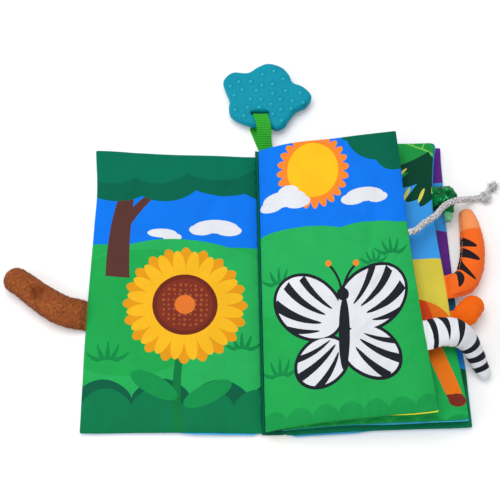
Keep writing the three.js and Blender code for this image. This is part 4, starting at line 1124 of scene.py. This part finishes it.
_, points, out, along, turn = tail_covers["orange_striped"]
hand_gap, hand_half, hand_thread = 2.6, 0.75, 0.21
inner_side = [(at, 3) for at in np.arange(24, 66, hand_gap)]
outer_side = [(at, len(turn) // 2 - 3) for at in np.arange(5, 24, hand_gap)]
sewn = []
for at, column in inner_side + outer_side:
    row = int(np.argmin(np.abs(along - at)))
    ahead = unit(points[row + 1, column] - points[row - 1, column])
    s = np.linspace(-1, 1, 6)[:, None]
    bow = out[row, column] * (0.28 * (1 - s**2) + 0.05)
    sewn.append(tube(points[row, column] + ahead * s * hand_half + bow, hand_thread, 6))
sewing = new_piece("orange_striped_tail_stitches", *together(sewn))
orange_thread, tree, shader = new_material("orange sewing thread", 0.6, Sheen_Weight=0.2)
# Painted shading: light and dark bands slant across the thread as light and shade on its twisted plies.
ply_relief_and_shade = add(tree, "TexWave", in_millimetres(tree), 1.5, 1.0, bands_direction="DIAGONAL")
tone = add(tree, "Mix", ply_relief_and_shade.outputs[1], colour("#d2500f"), colour("#ffb783"), data_type="RGBA")
paint(tree, shader, tone, ply_relief_and_shade.outputs[1], 0.08)
finish_piece(sewing, orange_thread, "orange_velour")
hinge_tail(sewing, "orange_striped")

# Plain orange tail: smooth cotton jersey, one short fat lobe. It has no print, and its dye is a
# little patchy.
def mottled_orange(tree, along):
    """Two near oranges in soft patches about 7 mm across."""
    patch = add(tree, "TexNoise", in_millimetres(tree), 0.15, 3)
    return add(tree, "Mix", patch.outputs[0], colour("#fb5f00"), colour("#ff7808"), data_type="RGBA")


dyed_tail("plain_orange", "orange_jersey", "orange cotton jersey", lambda *_: (), mottled_orange,
          roughness=0.75, sheen=0.05, knit=2.2, depth=0.06)

# Green tail: crumpled polyester satin, glossy and deep green, with painted light and shade in soft
# patches for its crests and troughs, a few painted highlight streaks where folds too fine for the
# mesh would shine, and a mint tip.
satin, tree, shader = new_material(
    "polyester satin", 0.2, Specular_IOR_Level=0.5, Specular_Tint=colour("#3fd07c"))
axes = add(tree, "SeparateXYZ", add(tree, "UVMap")).outputs
tip = add(tree, "MapRange", axes[0], 19.6, 20.4, interpolation_type="SMOOTHSTEP")
place = in_millimetres(tree)
fold = add(tree, "TexNoise", place, 0.16, 2)
# Painted light and shade: lighter patches stand for lit crests, darker ones for shaded troughs.
crest_light_trough_shade = add(tree, "MapRange", fold.outputs[0], 0.35, 0.65, interpolation_type="SMOOTHSTEP")
tone = add(tree, "Mix", crest_light_trough_shade, colour("#00421e"), colour("#04783a"), data_type="RGBA")
# Painted highlights: pale streaks stand for shine on folds too fine for the mesh.
streak = add(tree, "TexNoise", place, 0.3, 1)
painted_gleam = add(tree, "MapRange", streak.outputs[0], 0.6, 0.72, interpolation_type="SMOOTHSTEP")
tone = add(tree, "Mix", painted_gleam, tone, colour("#4fc585"), data_type="RGBA")
tone = add(tree, "Mix", tip, tone, colour("#7fd0a0"), data_type="RGBA")
paint(tree, shader, tone, add(tree, "TexNoise", place, 0.2, 2), 1.6)
finish_piece(tail_covers["green_satin"][0], satin, "green_satin")

# Ribbon loop: slightly shiny green grosgrain, with painted shade in the grooves between its cross
# ribs, folded round the teether's bar, both ends caught in the seam at the head of the spine. The
# ribs are drawn 1.9 mm apart, where such ribbon has them about 1 mm apart, so that they show.
ribbon_width, ribbon_thick, ribbon_inner, rib_gap, rib_height = 12.2, 0.5, 6.2, 1.9, 0.07
lower_seam, upper_seam = 1.05, 1.6
bar_y, bar_z, ribbon_foot = 142.9, 7.0, 115.3

# Its middle line runs out along the lower strand, round the bar in a half circle and back along
# the upper strand. The cloth lies half its thickness to both sides, cupped and ribbed.
loop_radius = ribbon_inner + ribbon_thick / 2
bight = np.radians(np.linspace(-90, 90, 30))
strand_y = ribbon_foot + (bar_y - ribbon_foot) * np.linspace(0, 1, 46)
low, high = bar_z - loop_radius, bar_z + loop_radius
lower_line = np.stack([strand_y, low + (lower_seam - low) * smoothstep(126, 118.5, strand_y)], 1)
upper_rise = smoothstep(117.5, bar_y, strand_y) ** 0.85
upper_line = np.stack([strand_y, upper_seam + (high - upper_seam) * upper_rise], 1)
bight_line = np.stack([bar_y + loop_radius * np.cos(bight), bar_z + loop_radius * np.sin(bight)], 1)
loop_line = np.vstack([lower_line, bight_line[1:-1], upper_line[::-1]])
loop_run = run_of(loop_line)
even_run = np.linspace(0, loop_run[-1], 170)
loop_line = np.stack([np.interp(even_run, loop_run, loop_line[:, k]) for k in (0, 1)], 1)
ahead = unit(np.gradient(loop_line, axis=0))
loop_out = np.stack([ahead[:, 1], -ahead[:, 0]], 1)
share = (np.linspace(0, 1, 17) - 0.5)[None]
rise_share = (loop_line[:, 0] - 118.3) / (bar_y - 118.3)
lowered = np.clip((high - loop_line[:, 1]) / (high - low), 0, 1)
upper_x = 0.2 - 0.7 * rise_share - 3.6 * smoothstep(0.55, 1.15, rise_share)
lower_x = 0.2 - 8.6 * np.clip(rise_share, 0, None) + 6.36 * smoothstep(0.8, 1.26, rise_share)
middle_x = upper_x * (1 - lowered) + lower_x * lowered
cupped = 0.25 * (2 * share) ** 2
ribs = rib_height * np.cos(even_run * 2 * math.pi / rib_gap)[:, None] * (1 - (2 * share) ** 8)
faces = []
for way in (0.5, -0.5):
    off = way * ribbon_thick + cupped * smoothstep(118, 124, loop_line[:, :1]) + ribs
    y = loop_line[:, :1] + off * loop_out[:, :1]
    z = np.maximum(loop_line[:, 1:] + off * loop_out[:, 1:], 0.12)
    faces.append(np.stack([middle_x[:, None] + share * ribbon_width, y, z], -1))
uv = np.stack([part.ravel() for part in np.broadcast_arrays(even_run[:, None], share * ribbon_width)], 1)
ribbon = cloth_between("ribbon_loop_grosgrain", faces[0], faces[1], uv)
grosgrain, tree, shader = new_material("polyester grosgrain", 0.55, Specular_IOR_Level=0.2)
where = add(tree, "UVMap").outputs[0]
axes = add(tree, "SeparateXYZ", where).outputs
rib_relief_and_shade = add(tree, "Math", axes[0], 2 * math.pi / rib_gap, operation="MULTIPLY")
rib_relief_and_shade = add(tree, "Math", rib_relief_and_shade, operation="COSINE")
patch = add(tree, "TexNoise", where, 0.2, 3)
tone = add(tree, "Mix", patch.outputs[0], colour("#22a622"), colour("#38bf33"), data_type="RGBA")
# Painted shade: the colour darkens in the grooves between the ribs.
share = add(tree, "Math", rib_relief_and_shade, -0.3, 0.3, operation="MULTIPLY_ADD")
tone = add(tree, "Mix", share, tone, colour("#0f7d0e"), data_type="RGBA")
paint(tree, shader, tone, rib_relief_and_shade, 0.08)
finish_piece(ribbon, grosgrain, "green_ribbon", None, "ribbon_loop")
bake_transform(ribbon)

# Teether: one moulded silicone plate with five soft lobes, rounded edges, a slot for the ribbon
# and small round bumps scattered over both faces.
teether_width, teether_height, teether_thick, edge_round = 74.0, 64.0, 8.8, 3.9
teether_x, teether_y = 2.2, 166.5
lobe_shares = [
    (-0.497, 0.243), (-0.396, 0.368), (-0.214, 0.362), (-0.099, 0.451), (0.018, 0.5), (0.175, 0.434),
    (0.252, 0.321), (0.291, 0.204), (0.406, 0.133), (0.496, -0.008), (0.441, -0.149), (0.315, -0.238),
    (0.245, -0.342), (0.18, -0.455), (0.099, -0.5), (-0.009, -0.452), (-0.184, -0.441),
    (-0.337, -0.365), (-0.42, -0.282), (-0.439, -0.18), (-0.43, -0.055), (-0.472, 0.094),
]
overlap = 3
looped = [(teether_x + x * teether_width, teether_y + y * teether_height, 0)
          for x, y in lobe_shares[-overlap:] + lobe_shares + lobe_shares[:overlap]]
once_round = np.linspace(overlap, overlap + len(lobe_shares), 421)[:-1] / (len(looped) - 1)
lobes = spline(looped, once_round)[:, :2]
for _ in range(6):
    lobes = 0.5 * lobes + 0.25 * (np.roll(lobes, 1, 0) + np.roll(lobes, -1, 0))
slot_x, slot_y, slot_run, slot_radius, slot_round = -4.6, 149.4, 6.0, 1.8, 1.2
turn = np.linspace(-math.pi / 2, math.pi / 2, 40)
right_end = np.stack([slot_x + slot_run + slot_radius * np.cos(turn), slot_y + slot_radius * np.sin(turn)], 1)
slot = np.vstack([right_end, 2 * np.array([slot_x, slot_y]) - right_end])


def ring_inward(ring):
    """Directions to the right of a ring's run, which is into the plate for both rings."""
    ahead = unit(np.roll(ring, -1, 0) - np.roll(ring, 1, 0))
    return np.stack([ahead[:, 1], -ahead[:, 0]], 1)


def distance_to(ring, points):
    """The distance from each point to the nearest place on a closed ring."""
    step = np.roll(ring, -1, 0) - ring
    off = points[:, None] - ring[None]
    t = np.clip((off * step).sum(-1) / (step**2).sum(-1), 0, 1)
    return np.linalg.norm(off - t[..., None] * step, axis=-1).min(1)


def inside_ring(ring, points):
    """True where a line towards +X from the point crosses the ring an odd number of times."""
    a, b = ring[None], np.roll(ring, -1, 0)[None]
    y = points[:, 1:]
    crosses = (a[..., 1] > y) != (b[..., 1] > y)
    rise = np.where(crosses, b[..., 1] - a[..., 1], 1)
    x = a[..., 0] + (y - a[..., 1]) * (b[..., 0] - a[..., 0]) / rise
    return (crosses & (points[:, :1] < x)).sum(1) % 2 == 1


bump_radius, bump_height = 1.9, 1.0
bump_places = [
    (-31, 8.5), (-23.7, 12.8), (-13.8, 12.8), (-20.9, 4.9), (-27.8, -0.5), (-9.1, 4), (-4.6, 9.2),
    (4.4, 10.1), (-3.7, 19.5), (5.9, 22.7), (13.4, 14.6), (4.3, 0.5), (15.3, 3.3), (27.3, 0.9),
    (-14.4, -4.1), (-5.6, -4.7), (10.4, -4.9), (20.3, -6.5), (29.4, -8.6), (2.7, -9.4), (19.3, -14),
    (10.5, -14.7), (-16.7, -12.3), (-7.2, -12.2), (3.6, -19), (-27, -14.2), (-20, -20.1), (10.9, -25.5),
]
bumps = np.array(bump_places) + (teether_x, teether_y)

# The plate is drawn flat: rings that step in from both outlines as quarter circles, a lattice and
# the bumps' own rounds, joined by triangles. Its upper and lower face then lie half the thickness
# off the middle, less the rounding and plus a cosine dome on each bump.
plane, drops, rims = [], [], []
for ring, soft in ((lobes, edge_round), (slot, slot_round)):
    first = sum(len(points) for points in plane)
    index = first + np.arange(len(ring))
    rims += np.stack([index, np.roll(index, -1)], 1).tolist()
    for angle in np.linspace(0, math.pi / 2, 9):
        plane.append(ring + ring_inward(ring) * soft * (1 - math.cos(angle)))
        drops.append(np.full(len(ring), soft * (1 - math.sin(angle)) if angle else teether_thick / 2))
mesh_step, ring_gap, bump_gap = 1.15, 0.5, 0.35
lattice = np.meshgrid(np.arange(-38, 42, mesh_step), np.arange(132, 201, mesh_step))
lattice = np.stack(lattice, -1).reshape(-1, 2)
lattice = lattice[inside_ring(lobes, lattice) & ~inside_ring(slot, lattice)]
off_edge, off_slot = distance_to(lobes, lattice), distance_to(slot, lattice)
lattice = lattice[(off_edge > edge_round + ring_gap) & (off_slot > slot_round + ring_gap)]
lattice = lattice[np.linalg.norm(lattice[:, None] - bumps[None], axis=-1).min(1) > bump_radius + bump_gap]
turn = np.linspace(0, 2 * math.pi, 16, endpoint=False)
rounds = np.stack([np.cos(turn), np.sin(turn)], 1)
dots = [bumps[:, None] + rounds * radius for radius in np.linspace(0.25, 1, 6) * bump_radius]
plane += [lattice, *[dot.reshape(-1, 2) for dot in dots], bumps]
plane = np.vstack(plane)
drops = np.concatenate([*drops, np.zeros(len(plane) - sum(len(drop) for drop in drops))])
flat, _, flat_faces, came_from, *_ = delaunay_2d_cdt([Vector(p) for p in plane.tolist()], rims, [], 0, 1e-5)
flat = np.array([tuple(p) for p in flat])
drops = np.array([drops[ids[0]] if ids else 0.0 for ids in came_from])
flat_faces = np.array(flat_faces)
middles = flat[flat_faces].mean(1)
flat_faces = flat_faces[inside_ring(lobes, middles) & ~inside_ring(slot, middles)]
nearest = np.linalg.norm(flat[:, None] - bumps[None], axis=-1).min(1)
dome = np.where(nearest < bump_radius, np.cos(np.minimum(nearest / bump_radius, 1) * math.pi / 2) ** 1.3, 0)
# Painted shade: a ring round each bump where the silicone's colour is darkened.
moat = np.exp(-(((nearest - bump_radius - 0.7) / 0.6) ** 2))
rim = drops > teether_thick / 2 - 1e-6
half = teether_thick / 2 - drops + bump_height * dome
lower_index = np.where(rim, 0, len(flat)) + np.arange(len(flat))
faces = np.vstack([flat_faces, lower_index[flat_faces][:, ::-1]])
points = np.vstack([np.column_stack([flat, half]), np.column_stack([flat, -half])])
used = np.unique(faces)
renumber = np.full(len(points), -1)
renumber[used] = np.arange(len(used))
tilt = math.radians(1)
points = points[used] - (0, bar_y, 0)
points = np.column_stack([
    points[:, 0], points[:, 1] * math.cos(tilt) + points[:, 2] * math.sin(tilt) + bar_y,
    points[:, 2] * math.cos(tilt) - points[:, 1] * math.sin(tilt) + bar_z])
teether = new_piece("teether_plate", points, renumber[faces], bump=np.concatenate([dome, dome])[used],
                    moat=np.concatenate([moat, moat])[used])

# Moulded silicone: soft and matt, its colour and its face slightly uneven, with a painted highlight
# making it paler on its bumps, where the light catches, and painted shade darker round them.
silicone, tree, shader = new_material("moulded silicone rubber", 0.5, Specular_IOR_Level=0.12)
where = in_millimetres(tree)
cloudy = add(tree, "TexNoise", where, 0.06, 2)
tone = add(tree, "Mix", cloudy.outputs[0], colour("#008aa2"), colour("#0098b0"), data_type="RGBA")
moat_shade_share = add(tree, "Attribute", attribute_name="moat").outputs["Fac"]
moat_shade_share = add(tree, "Math", moat_shade_share, 0.45, operation="MULTIPLY")
tone = add(tree, "Mix", moat_shade_share, tone, colour("#007488"), data_type="RGBA")
# Painted highlight: the bumps are coloured paler, as if lit.
raised = add(tree, "Attribute", attribute_name="bump").outputs["Fac"]
raised = add(tree, "Math", raised, 0.75, operation="MULTIPLY")
tone = add(tree, "Mix", raised, tone, colour("#35c2d4"), data_type="RGBA")
paint(tree, shader, tone, add(tree, "TexNoise", where, 2.5, 2), 0.03)
finish_piece(teether, silicone, "teal_silicone", "teether", "teether")

# Floor and light: a matt white table, one broad soft light over the head of the book, a weaker
# one from the left, and a white room. The camera sees the room white and the table nearly so,
# and the room lights the book at 0.55.
floor_reach, floor_z = 5e3, -0.3
floor_corners = [(x * floor_reach, y * floor_reach, floor_z) for x, y in ((-1, -1), (1, -1), (1, 1), (-1, 1))]
floor = new_piece("floor", floor_corners, [[0, 1, 2, 3]])
table_paint, tree, shader = new_material("matt white table", 0.9)
shader.inputs["Base Color"].default_value = colour("#f7f7f7")
shader.inputs["Emission Color"].default_value = colour("#ffffff")
rays = add(tree, "LightPath").outputs
seen = add(tree, "Math", rays["Is Camera Ray"], rays["Is Glossy Ray"], operation="MAXIMUM")
away = add(tree, "VectorMath", add(tree, "TexCoord").outputs["Object"], operation="LENGTH")
far = add(tree, "MapRange", away, 0.4, 2.6, 0.13, 0.62, interpolation_type="SMOOTHSTEP")
glow = add(tree, "Math", seen, far, operation="MULTIPLY")
tree.links.new(glow.outputs[0], shader.inputs["Emission Strength"])
floor.data.materials.append(table_paint)


def softbox(name, at, size, power):
    """A round lamp of the given width that faces the book."""
    light = bpy.data.lights.new(name, "AREA")
    light.shape, light.size, light.energy = "DISK", size, power
    lamp = bpy.data.objects.new(name, light)
    lamp.location = at
    lamp.rotation_mode = "QUATERNION"
    lamp.rotation_quaternion = (Vector((0, 0.02, 0)) - lamp.location).to_track_quat("-Z", "Y")
    scene.collection.objects.link(lamp)


softbox("overhead", (-0.25, 0.35, 1.3), 1.1, 9.3)
softbox("left", (-1.2, -0.4, 0.8), 0.8, 4)
room = bpy.data.worlds.new("white room")
room.use_nodes = True
scene.world = room
background = room.node_tree.nodes["Background"]
background.inputs["Color"].default_value = colour("#ffffff")
rays = add(room.node_tree, "LightPath").outputs
seen = add(room.node_tree, "Math", rays["Is Camera Ray"], rays["Is Glossy Ray"], operation="MAXIMUM")
seen = add(room.node_tree, "Math", seen, rays["Is Transmission Ray"], operation="MAXIMUM")
strength = add(room.node_tree, "Math", seen, 0.45, 0.55, operation="MULTIPLY_ADD")
room.node_tree.links.new(strength.outputs[0], background.inputs["Strength"])
